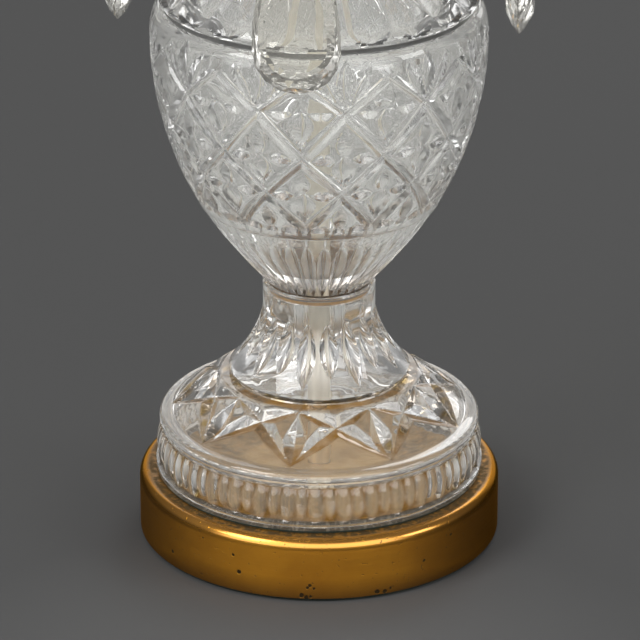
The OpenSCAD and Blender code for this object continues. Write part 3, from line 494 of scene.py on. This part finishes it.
class CandelabrumShape(bpy.types.PropertyGroup):
    """Counts, turns and depths of the cuts"""
    star_points: IntProperty(name="Star points", description="Leaves of the star on the foot", default=9, min=6)
    star_turn: FloatProperty(name="Star turn", description="Azimuth of the star from the front",
                             default=math.radians(-5.0), subtype="ANGLE")
    band_flutes: IntProperty(name="Band flutes", description="Wide flutes round the foot's band", default=36, min=12)
    lattice_count: IntProperty(name="Lattice", description="Diamonds in one row of the urn's lattice", default=12,
                               min=6)
    low_flutes: IntProperty(name="Low flutes", description="Flutes round the lower urn", default=40, min=12)
    petals: IntProperty(name="Petals", description="Flutes round the cover's shoulder", default=20, min=8)
    cut_slope: FloatProperty(name="Cut slope", description="Depth of a leaf of the star over its half width",
                             default=0.62, min=0.0, max=1.0, subtype="FACTOR")


class CandelabrumLook(bpy.types.PropertyGroup):
    """Colours and surfaces"""
    drop_colour: FloatVectorProperty(name="Drops", description="Tint of the hanging drops", subtype="COLOR",
                                     default=(1.0, 0.985, 0.935), min=0.0, max=1.0)
    # The brown-gold tint: grime in the cuts, and painted gold that stands in for brass seen through the glass.
    stain_colour: FloatVectorProperty(name="Stain and painted gold", description="Tint of the grime in the cuts", subtype="COLOR",
                                      default=(0.40, 0.215, 0.04), min=0.0, max=1.0)
    glass_colour: FloatVectorProperty(name="Glass", description="Tint of the crystal", subtype="COLOR",
                                      default=(0.975, 0.975, 0.965), min=0, max=1)
    glass_ripple: FloatProperty(name="Ripple", description="Strength of the fine waves in the glass", default=0.10,
                                min=0, max=1, subtype="FACTOR")
    glass_clear: FloatProperty(name="Clearness", description="Share of the light that the glass lets through; the rest "
                               "is the haze of fine dust and wear", default=0.95, min=0, max=1, subtype="FACTOR")
    edge_frost: FloatProperty(name="Edge frost", description="Roughness of the worn edges of the cuts", default=0.14,
                              min=0, max=1, subtype="FACTOR")
    brass_colour: FloatVectorProperty(name="Brass", description="Clean brass under old lacquer", subtype="COLOR",
                                      default=(0.50, 0.225, 0.016), min=0, max=1)
    brass_dark: FloatVectorProperty(name="Dark brass", description="Darkened patches of the brass", subtype="COLOR",
                                    default=(0.37, 0.155, 0.010), min=0, max=1)
    floor_colour: FloatVectorProperty(name="Floor", description="Colour of the floor", subtype="COLOR",
                                      default=(0.071, 0.071, 0.071), min=0, max=1)


def shape():
    return bpy.context.scene.candelabrum_shape


def finishes():
    return materials(bpy.context.scene.candelabrum_look)


# Pieces

class CANDELABRUM_OT_base_cap(bpy.types.Operator):
    """Makes the spun brass base with its rounded edge"""
    bl_idname = "candelabrum.base_cap"
    bl_label = "Brass base"

    def execute(self, context):
        bend = np.radians(np.linspace(0, 90, 13))[:, None]
        outer = np.hstack([80.5 + 4.5 * np.cos(bend), 26.5 + 4.5 * np.sin(bend)])
        inner = np.hstack([79.4 + 3.8 * np.cos(bend), 25.8 + 3.8 * np.sin(bend)])[::-1]
        outline = np.concatenate([[(83.6, FELT_Z), (84.7, FELT_Z), (BASE_R, 1.8), (BASE_R, 10.0), (BASE_R, 18.0)],
                                  outer, [(76.0, BASE_TOP), (40.0, BASE_TOP), (ROD_HOLE_R, BASE_TOP),
                                          (ROD_HOLE_R, 29.6)], inner, [(83.2, 12.0), (83.6, 3.0)]])
        points, faces = round_grid(*rings(plain(outline, 360)))
        add_piece("base_cap_turned", points, faces, finishes()["Turned base brass"], "base_cap", "aged_brass")
        return {"FINISHED"}


class CANDELABRUM_OT_crystal_foot(bpy.types.Operator):
    """Makes the foot: a band of lens flutes, a ridge, a star-cut dome, a fluted cone and a plain waist"""
    bl_idname = "candelabrum.crystal_foot"
    bl_label = "Crystal foot"

    def execute(self, context):
        s = shape()
        count = 576
        azimuth = 360 * np.arange(count) / count
        edge = plain([(FOOT_R - 1, FOOT_Z), (FOOT_R - 0.2, FOOT_Z + 0.4), (FOOT_R, FOOT_Z + 1.2),
                      (FOOT_R, BAND_Z - 0.4)], count)

        # Ellipses stand proud between the band's cuts, wide ones and narrow ones in turn
        line = spaced([(FOOT_R, BAND_Z), (76.6, 45.0), (75.8, 53.0), (74.6, RIDGE_Z)], 36)
        z = line[:, 1:]
        pitch = 360 / s.band_flutes
        ribs = np.zeros((len(line), count))
        for shift, half, low, high in ((pitch / 2, 0.34 * pitch, 34.6, 55.4), (0.0, 0.26 * pitch, 37.0, 54.6)):
            middle, reach = (low + high) / 2, (high - low) / 2
            across, along = wrap(azimuth - shift, pitch) / half, (z - middle) / reach
            ribs = np.maximum(ribs, 1 - across ** 2 - along ** 2)
        ends = np.clip(np.minimum(z - BAND_Z, RIDGE_Z - z) / 0.8, 0, 1)
        band = (line, LENS_DEPTH * ends * (1 - np.clip(ribs, 0, 1)))
        # Brown-gold tint between the flutes: partly grime, partly painted shade and painted gold that stand in for the
        # brass seen through the glass.
        gap_grime_and_shade = ends * np.clip((0.70 - ribs) / 0.45, 0, 1)

        bead = np.radians(np.linspace(-50, 100, 11))[:, None]
        ridge = plain(np.hstack([72.4 + 2.9 * np.cos(bead), 57.2 + 2.7 * np.sin(bead)]), count)

        # From each of the star's tops three leaves run to the rim: one straight out, two to the neighbours' ends
        line = spaced([(70.3, DOME_Z), (69.5, DOME_Z + 0.3), (58.6, 70.0), (46.0, 79.4)], 42)
        r = line[:, :1]
        depth = np.zeros((len(line), count))
        pitch = 360 / s.star_points
        turned = azimuth - math.degrees(s.star_turn)
        for k in range(-1, 2):
            local = np.radians(wrap(turned, pitch) - k * pitch)
            x, y = r * np.sin(local), r * np.cos(local)
            for side in (-1, 0, 1):
                a = math.radians(side * pitch)
                end = (69.3 * math.sin(a), 69.3 * math.cos(a))
                width, belly = (4.1, 0.5) if side else (5.4, 0.6)
                depth = np.maximum(depth, leaf(x, y, (0.0, 47.6), end, width, s.cut_slope, belly))
        star = (line, depth)
        # Painted gold that stands in for the brass seen through the glass: one face of each leaf and the ring round the
        # star's tops, with a lighter share on the flats.
        lower = np.maximum(np.clip(np.gradient(depth, axis=0) / 0.10, 0, 1), np.clip((47.4 - r) / 1.2, 0, 0.9))
        lower = np.maximum(lower, 0.28 * (depth <= 0))

        step = plain([(41.6, 79.6), (41.2, 80.2), (RIM_R - 0.2, 81.2), (RIM_R, 82.2)], count)

        z = CONE_LINE[:, 1:]
        depth = np.zeros((len(CONE_LINE), count))
        for shift, low in ((0.0, 86.4), (pitch / 2, 90.4)):
            x = np.radians(wrap(turned - shift, pitch)) * CONE_LINE[:, :1]
            depth = np.maximum(depth, hollow(x, z, (0, low), (0, WAIST_Z + 3), 4.4, CONE_DEPTH, 0.42))
        cone = (CONE_LINE, depth)
        tips = 0.6 * np.clip(depth / 1.4, 0, 1) * np.clip((99.0 - z) / 7.0, 0, 1)

        waist = plain([(WAIST_R, 113.2), (WAIST_R, FOOT_TOP - 0.6), (WAIST_R - 0.6, FOOT_TOP), (SEAT_R, FOOT_TOP),
                       (SEAT_R, SEAT_Z), (WAIST_HOLE_R, SEAT_Z), (WAIST_HOLE_R, RIM_Z + 15.4)], count)
        inner = spaced([(WAIST_HOLE_R, RIM_Z + 14.6), (WAIST_HOLE_R + 2, RIM_Z + 13.4), (30.4, 79.4)], 8)
        roof = bezier((68.0, 50.4), (66.0, 56.4), (38.0, 74.6), (30.4, 79.4), 16)[::-1]
        inside = plain(np.concatenate([inner, roof[1:], [(68.0, FOOT_Z)]]), count)
        parts = edge, band, ridge, star, step, cone, waist, inside
        points, faces = round_grid(*rings(*parts))
        add_piece("crystal_foot_cut", points, faces, finishes()["Cut crystal"], "crystal_foot", "crystal",
                  worn=edges(*parts), stain=stains(parts, [0, gap_grime_and_shade, 0, lower, 1, tips, 0, 0]))
        return {"FINISHED"}


def lattice(radius, height, azimuth, count):
    """Depth of the urn's cuts. a counts half diamonds round the urn and b rows of nodes, so that the mitre bands
    lie where a + b or a - b is even. p and q run from -1 to 1 across a diamond, square to the two sets of bands,
    so its edges are |p| = 1 and |q| = 1. The bands are grooves with a narrow flat bottom. Each diamond holds a
    hollow drop over its lower corner, a mitre above it and a short mitre at its left and right corners. Over each
    node of the second row three hollow leaves fan out."""
    a = azimuth[None, :] / (180 / count)
    b = np.interp(-height, -np.array(NODE_ROWS), np.arange(len(NODE_ROWS), dtype=float))
    p, q = wrap(a - b - 1, 2.0), wrap(a + b - 1, 2.0)
    edge = 1 - np.maximum(np.abs(p), np.abs(q))
    bands = BAND_DEPTH * np.clip((0.18 - edge) / 0.14, 0, 1)
    x = (p + q) / 2 * np.pi * radius / count
    y = (p - q) / 2 * 21.0
    cuts = [bands, hollow(x, y, (0, -15.5), (0, 2.5), 5.4, 2.2, 0.6), leaf(x, y, (0, 1.0), (0, 14.5), 3.4, 0.7, 0.45)]
    cuts += [leaf(x, y, (side * 3.6, 0.6), (side * 14.2, 0), 2.9, 0.75) for side in (1, -1)]
    x = radius * np.radians(wrap(azimuth[None, :] - 180 / count, 360 / count))
    y = height - NODE_ROWS[1]
    fan = [bands * (b > 0), hollow(x, y, (0, 1.5), (0, 25), 3.6, 1.9, 0.55)]
    fan += [hollow(x, y, (side * 1.4, 1.5), (side * 12.0, 21), 2.9, 1.7) for side in (1, -1)]
    return np.where(y > 1.0, np.maximum.reduce(fan), np.maximum.reduce(cuts)), np.abs(p) >= np.abs(q)


class CANDELABRUM_OT_urn_bowl(bpy.types.Operator):
    """Makes the urn: round flutes below a line, then a lattice of mitre bands whose diamonds are cut"""
    bl_idname = "candelabrum.urn_bowl"
    bl_label = "Urn bowl"

    def execute(self, context):
        s = shape()
        steps = 25
        count = 2 * steps * s.lattice_count
        azimuth = 360 * np.arange(count) / count
        start = plain([(ROD_HOLE_R, BOWL_Z), (23.4, BOWL_Z), (BOWL_FOOT_R, BOWL_Z + 0.6), (24.2, BOWL_Z + 2.6)], count)

        line = spaced(LOW_LINE, 26)
        z = line[:, 1:]
        local = np.radians(wrap(azimuth, 360 / s.low_flutes)) * line[:, :1]
        wide = np.pi * line[:, :1] / s.low_flutes
        t = np.clip((z - 128.0) / (161.0 - 128.0), 0, 1)
        half = 0.96 * wide * np.sqrt(np.clip(1 - (2 * t - 1) ** 2, 0, None)) ** 0.8
        low = (line, LOW_DEPTH * lens(local, half))

        line_step = plain([(LINE_R + 0.1, LINE_Z + 0.2), (LINE_R + 0.9, LINE_Z + 0.9)], count)

        # The grid's rings pass through the lattice's nodes, so that its edges follow the bands
        mid = np.concatenate([MID_LINE, LIP_LINE[1:]])
        heights = np.interp(np.arange(4 * steps + 1) / steps, np.arange(5), NODE_ROWS)[::-1]
        line = at_heights(mid, np.concatenate([heights, [253.5, 255.0, 256.5, 258.0, 259.5, 260.7]]))
        depth, rising = lattice(line[:, :1], line[:, 1:], azimuth, s.lattice_count)
        body = (line, depth)

        above = plain([(LIP_R + 0.1, 261.4), (LIP_R - 0.4, LIP_Z)], count)
        below = plain(at_heights(mid, [169.0, 172.0]), count)
        wall = bezier((67.1, LIP_Z - 5), (70.9, 244.0), (70.7, 218.0), (50.6, 172.0), 14)
        inside_line = np.concatenate([[(67.1, LIP_Z)], wall, [(38.7, 154.0), (24.0, 139.0), (ROD_HOLE_R, 138.5)]])
        inner = plain(inside_line, count)
        parts = start, low, line_step, below, body, above, inner
        radius, height = rings(*parts)
        split = np.ones(radius.shape, bool)
        first = sum(len(part[0]) for part in (start, low, line_step, below))
        split[first:first + len(line)] = rising
        points, faces = round_grid(radius, height, split)
        # Painted gold glints in the cuts of the lattice's lowest rows, standing in for the brass seen through the
        # glass.
        bottom = 0.5 * np.clip((187.0 - line[:, 1:]) / 8.0, 0, 1) * np.clip(depth / 1.2, 0, 1)
        seat = 0.35 * np.clip((141.0 - z) / 9.0, 0, 1)
        add_piece("urn_bowl_cut", points, faces, finishes()["Cut crystal"], "urn_bowl", "crystal",
                  worn=edges(*parts), stain=stains(parts, [0.6, seat, 0.3, 0, bottom, 0, 0]))
        return {"FINISHED"}


class CANDELABRUM_OT_urn_cover(bpy.types.Operator):
    """Makes the cover: a rounded shoulder with hollow flutes that end in petals, and a ringed neck"""
    bl_idname = "candelabrum.urn_cover"
    bl_label = "Urn cover"

    def execute(self, context):
        s = shape()
        count = 480
        azimuth = 360 * np.arange(count) / count
        start = plain([(60.0, COVER_Z - 4), (66.8, COVER_Z - 4), (66.8, COVER_Z), (71.0, COVER_Z),
                       (72.6, COVER_Z + 0.7), (73.0, COVER_Z + 1.8)], count)
        line = spaced(COVER_LINE, 66)
        z = line[:, 1:]
        pitch = 360 / s.petals
        local = np.radians(wrap(azimuth - 16.0 + pitch / 2, pitch)) * line[:, :1]
        wide = np.pi * line[:, :1] / s.petals
        end = np.clip((z - 266.0) / 7.0, 0, 1)
        top = np.clip((327.0 - z) / 8.0, 0, 1)
        half = 0.97 * wide * np.sqrt(1 - (1 - end) ** 2) * np.sqrt(1 - (1 - top) ** 2)
        flutes = (line, 0.17 * wide * lens(local, half))
        neck = [(23.7, 331.8), (25.2, 333.2), (25.5, 335.0), (25.2, 337.4), (23.4, 339.4), (22.2, 340.8),
                (22.0, COVER_TOP - 0.5), (21.5, COVER_TOP), (ROD_HOLE_R, COVER_TOP), (ROD_HOLE_R, 320.0)]
        wall = bezier((17.0, 317.0), (24.0, 290.0), (60.0, 274.0), (60.0, COVER_Z - 1), 20)
        parts = start, flutes, plain(neck, count), plain(wall, count)
        points, faces = round_grid(*rings(*parts))
        add_piece("urn_cover_cut", points, faces, finishes()["Cut crystal"], "urn_cover", "crystal",
                  worn=edges(*parts))
        return {"FINISHED"}


def drop_outline(length, width, head, steps):
    """The outline of a drop from its tip up one side and down the other. At the tip a half circle of radius w / 2;
    above it the half width is w / 2 (1 - u^2.6), u from 0 to 1, and never under the head's radius."""
    r = width / 2
    bend = np.radians(np.linspace(0, 90, steps + 1))
    tip = np.stack([r * np.sin(bend), r - r * np.cos(bend)], 1)
    height = r + (length - head - r) * np.arange(1, steps + 1) / steps
    half = np.maximum(head, r * (1 - ((height - r) / (length - r)) ** 2.6))
    side = np.concatenate([tip, np.stack([half, height], 1), [(0.7 * head, length - 0.3 * head)]])
    return np.concatenate([side, [(0, length)], side[:0:-1] * (-1, 1)])


def drop_points(length, width, thick, head, steps):
    """Rings of facets from one table over the girdle to the other: ring k is the outline shrunk to its share about a
    middle height, and every second ring has its points midway between its neighbours'."""
    line = drop_outline(length, width, head, steps)
    middle = (line + np.roll(line, -1, 0)) / 2
    centre, found = np.array([0, 0.42 * length]), []
    for share, x, shifted in ((0.72, 0.5, 0), (0.90, 0.27, 1), (1, 0.03, 0), (1, -0.03, 0), (0.90, -0.27, 1),
                              (0.72, -0.5, 0)):
        ring = centre + ((middle if shifted else line) - centre) * share - (0, length - head)
        found.append(np.stack([np.full(len(ring), thick * x), ring[:, 0], ring[:, 1]], 1))
    return found


def drop_faces(count):
    """Triangles between the rings of drop_points, and the two tables."""
    k = np.arange(count)
    after = (k + 1) % count
    faces = [tuple(k[::-1]), tuple(5 * count + k)]
    for ring, leads in enumerate((True, False, True, True, False)):
        a, b = ring * count + k, ring * count + after
        c, d = b + count, a + count
        if ring == 2:
            faces += np.stack([a, b, c, d], 1).tolist()
        elif leads:
            faces += np.concatenate([np.stack([a, b, d], 1), np.stack([b, c, d], 1)]).tolist()
        else:
            faces += np.concatenate([np.stack([a, b, c], 1), np.stack([a, c, d], 1)]).tolist()
    return faces


def bored(piece, hole, thick):
    """Bores the hole for the wire, along the axis that the drop swings on."""
    cutter = bmesh.new()
    bmesh.ops.create_cone(cutter, cap_ends=True, segments=24, radius1=hole * MM, radius2=hole * MM,
                          depth=2 * thick * MM, matrix=Matrix.Rotation(math.pi / 2, 4, "Y"))
    mesh = bpy.data.meshes.new("cutter")
    cutter.to_mesh(mesh)
    cutter.free()
    tool = bpy.data.objects.new("cutter", mesh)
    bpy.context.scene.collection.objects.link(tool)
    bore = piece.modifiers.new("bore", "BOOLEAN")
    bore.operation, bore.object, bore.solver = "DIFFERENCE", tool, "EXACT"
    done = bpy.data.meshes.new_from_object(piece.evaluated_get(bpy.context.evaluated_depsgraph_get()))
    piece.modifiers.clear()
    bpy.data.objects.remove(tool)
    return done


def facetted_drop(length, width, thick, head, steps, hole):
    """The mesh of a drop with flat facets, its hole at the origin."""
    rows = drop_points(length, width, thick, head, steps)
    mesh = bpy.data.meshes.new("drop")
    mesh.from_pydata(np.concatenate(rows) * MM, [], drop_faces(len(rows[0])))
    whole = bpy.data.objects.new("drop", mesh)
    bpy.context.scene.collection.objects.link(whole)
    done = bored(whole, hole, thick)
    bpy.data.objects.remove(whole)
    done.shade_flat()
    return done


class CANDELABRUM_OT_drops(bpy.types.Operator):
    """Makes the hanging drops with their flat facets, four large and twenty small"""
    bl_idname = "candelabrum.drops"
    bl_label = "Drops"

    def execute(self, context):
        large = facetted_drop(length=76.0, width=39.0, thick=12.0, head=4.3, steps=4, hole=1.7)
        small = facetted_drop(length=37.0, width=17.0, thick=7.0, head=2.6, steps=2, hole=1.3)
        for joint in frame["record"]["behaviour"]["joints"]:
            body = joint["child"]
            node = body.removesuffix("_body")
            mesh = (small if node.startswith("pan_") else large).copy()
            x, y, _ = joint["axis"]
            mesh.transform(Matrix.Translation(joint["pos_m"]) @ Matrix.Rotation(math.atan2(y, x), 4, "Z"))
            mesh.materials.append(finishes()["Drop crystal"])
            piece = bpy.data.objects.new(node + "_cut", mesh)
            context.scene.collection.objects.link(piece)
            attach(piece, body)
            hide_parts(node)
        return {"FINISHED"}


class CANDELABRUM_OT_dressed_nodes(bpy.types.Operator):
    """Gives every CAD node that keeps its shape its finish"""
    bl_idname = "candelabrum.dressed_nodes"
    bl_label = "Finishes of the frame's own parts"

    def execute(self, context):
        all_finishes = finishes()
        by_slot = {"crystal": "Cut crystal", "aged_brass": "Aged brass", "wire": "Brass wire", "steel": "Zinc steel",
                   "cast_iron": "Cast iron", "felt": "Dark felt", "board": "Pressed board", "gasket": "Soft gasket"}
        for part in frame["record"]["subparts"]:
            dress(part["node"], all_finishes[by_slot[part["material_slot"]]])
        dress("tie_rod", all_finishes["Bright plate"])
        dress("foot_gasket", all_finishes["Felt ring"])
        return {"FINISHED"}


# The stage

# The photo's camera: its turn towards +X and its tilt in degrees, its distance from the axis and its height in
# metres, and its focal length in pixels of the photo's width
CAMERA_TURN, CAMERA_TILT, CAMERA_DISTANCE, CAMERA_HEIGHT = 6.2, 23.6, 1.860, 0.917
FOCAL_PIXELS, PHOTO_PIXELS, SENSOR_MM = 4340, 640, 36.0

# Square lamps: name, place in metres, side in metres and power in watts
LAMPS = (("key lamp", (-1.3, -1.2, 1.7), 1.1, 26.0), ("side lamp", (1.7, -0.5, 1.0), 0.7, 9.0),
         ("back lamp", (0.4, 1.6, 1.3), 0.8, 8.0))


def grey_colour(tree, value, blue_share=1.0):
    blue = times(tree, value, blue_share)
    return put(tree, "ShaderNodeCombineColor", [("Red", value), ("Green", value), ("Blue", blue)]).outputs[0]


def chosen(tree, ray, otherwise, value):
    """The value for one kind of ray, and what all others get. Inputs 2 and 3 of a Mix node are its numbers."""
    return put(tree, "ShaderNodeMix", [(0, ray), (2, otherwise), (3, value)]).outputs[0]


def add_floor(scene, look):
    """Dark paper with a painted pool of light in front of the base. Seen through glass it is painted paler, most of all
    near the object, as the photo's glass shows the bright surroundings."""
    tree = new_material("Grey floor")
    where = object_place(tree)
    # Painted pool of light: the paper is up to 1.5 times lighter round a point in front of the base.
    painted_light_pool = ramp(tree, vector_node(tree, "DISTANCE", where, (0.012, -0.20, 0.0)), 0.20, 0.07)
    paper = blend_colour(tree, painted_light_pool, (*look.floor_colour, 1.0), [1.5 * c for c in look.floor_colour] + [1.0])
    # Painted light: rays through glass see the floor paler, most of all near the object.
    through_glass = put(tree, "ShaderNodeLightPath").outputs["Is Transmission Ray"]
    pale = grey_colour(tree, ramp(tree, from_axis(tree, where), 0.44, 0.30, 0.27, 0.50), 0.95)
    colour = blend_colour(tree, through_glass, paper, pale)
    finish_material(tree, principled(tree, colour, 0.9, ("Specular IOR Level", 0.15)))
    mesh = bpy.data.meshes.new("floor")
    mesh.from_pydata([(-6, -6, 0), (6, -6, 0), (6, 6, 0), (-6, 6, 0)], [], [(0, 1, 2, 3)])
    mesh.materials.append(bpy.data.materials["Grey floor"])
    floor = bpy.data.objects.new("floor", mesh)
    scene.collection.objects.link(floor)


def add_surroundings(scene):
    """A room of soft light. The camera sees plain dark paper. Rays through glass see bright upright strips, brighter
    near the horizon, rays mirrored by a surface see a large soft box in front and a smaller one behind, and the
    rest see an even glow that grows with height."""
    world = bpy.data.worlds.new("Soft studio")
    scene.world = world
    world.use_nodes = True
    tree = world.node_tree
    tree.nodes.clear()
    rays = put(tree, "ShaderNodeLightPath").outputs
    parts = put(tree, "ShaderNodeSeparateXYZ", [(0, put(tree, "ShaderNodeTexCoord").outputs["Generated"])]).outputs
    up = parts["Z"]

    around = math_node(tree, "ARCTAN2", parts["Y"], parts["X"])
    wave = math_node(tree, "SINE", times(tree, around, 7.0))
    strips = times(tree, ramp(tree, up, 0.02, 0.45, 1.0, 0.22), ramp(tree, wave, 0.15, 0.45, 0.66, 2.6))

    level = math_node(tree, "SQRT", math_node(tree, "SUBTRACT", 1.0, times(tree, up, up)))
    forward = math_node(tree, "DIVIDE", parts["Y"], level)
    boxes = math_node(tree, "ADD", ramp(tree, forward, -0.45, -0.65, 0.0, 3.0),
                      ramp(tree, forward, 0.75, 0.88, 0.0, 1.4))
    window = times(tree, ramp(tree, up, 0.0, 0.08), ramp(tree, up, 0.86, 0.70))
    mirrored = math_node(tree, "ADD", times(tree, window, boxes), ramp(tree, up, 0.02, 0.35, 0.16, 0.42))

    even = ramp(tree, up, -0.05, 0.75, 0.16, 0.62)
    light = chosen(tree, rays["Is Glossy Ray"], even, mirrored)
    light = chosen(tree, rays["Is Transmission Ray"], light, strips)
    light = chosen(tree, rays["Is Camera Ray"], light, 0.088)
    glow = put(tree, "ShaderNodeBackground", [("Color", grey_colour(tree, light)), ("Strength", 1.0)]).outputs[0]
    put(tree, "ShaderNodeOutputWorld", [("Surface", glow)])


def add_lamps(scene):
    """Square lamps aimed at the foot, hidden from rays that pass through glass."""
    for name, place, side, power in LAMPS:
        lamp = bpy.data.lights.new(name, "AREA")
        lamp.shape, lamp.size, lamp.energy = "SQUARE", side, power
        holder = bpy.data.objects.new(name, lamp)
        scene.collection.objects.link(holder)
        holder.visible_transmission = False
        holder.location = place
        holder.rotation_euler = (Vector((0, 0, 0.2)) - Vector(place)).to_track_quat("-Z", "Y").to_euler()


def add_camera(scene):
    turn = math.radians(CAMERA_TURN)
    camera = bpy.data.cameras.new("camera")
    camera.sensor_width, camera.lens, camera.shift_x = SENSOR_MM, SENSOR_MM * FOCAL_PIXELS / PHOTO_PIXELS, 0.0014
    camera.clip_end = 50.0
    holder = bpy.data.objects.new("camera", camera)
    scene.collection.objects.link(holder)
    holder.location = (CAMERA_DISTANCE * math.sin(turn), -CAMERA_DISTANCE * math.cos(turn), CAMERA_HEIGHT)
    holder.rotation_euler = (math.pi / 2 - math.radians(CAMERA_TILT), 0.0, turn)
    scene.camera = holder


class CANDELABRUM_OT_stage(bpy.types.Operator):
    """Sets the grey floor, the soft lamps, the surroundings and the camera"""
    bl_idname = "candelabrum.stage"
    bl_label = "Stage"

    def execute(self, context):
        scene = context.scene
        scene.view_settings.view_transform = "Standard"
        add_floor(scene, scene.candelabrum_look)
        add_surroundings(scene)
        add_lamps(scene)
        add_camera(scene)
        return {"FINISHED"}


class CANDELABRUM_PT_panel(bpy.types.Panel):
    """Lists the steps that build the candelabrum"""
    bl_label = "Crystal candelabrum"
    bl_idname = "CANDELABRUM_PT_panel"
    bl_space_type = "VIEW_3D"
    bl_region_type = "UI"
    bl_category = "Candelabrum"

    def draw(self, context):
        for group in (context.scene.candelabrum_shape, context.scene.candelabrum_look):
            for name in group.__annotations__:
                self.layout.prop(group, name)
        for operator in OPERATORS:
            self.layout.operator(operator.bl_idname)


SETTINGS = (CandelabrumShape, CandelabrumLook)
OPERATORS = (CANDELABRUM_OT_stage, CANDELABRUM_OT_dressed_nodes, CANDELABRUM_OT_base_cap,
             CANDELABRUM_OT_crystal_foot, CANDELABRUM_OT_urn_bowl, CANDELABRUM_OT_urn_cover, CANDELABRUM_OT_drops)
CLASSES = SETTINGS + OPERATORS + (CANDELABRUM_PT_panel,)


def register():
    for cls in CLASSES:
        bpy.utils.register_class(cls)
    bpy.types.Scene.candelabrum_shape = PointerProperty(type=CandelabrumShape)
    bpy.types.Scene.candelabrum_look = PointerProperty(type=CandelabrumLook)


def unregister():
    del bpy.types.Scene.candelabrum_look
    del bpy.types.Scene.candelabrum_shape
    for cls in reversed(CLASSES):
        bpy.utils.unregister_class(cls)


def main():
    register()
    bpy.ops.candelabrum.stage()
    bpy.ops.candelabrum.dressed_nodes()
    bpy.ops.candelabrum.base_cap()
    bpy.ops.candelabrum.crystal_foot()
    bpy.ops.candelabrum.urn_bowl()
    bpy.ops.candelabrum.urn_cover()
    bpy.ops.candelabrum.drops()


if __name__ == "__main__":
    main()
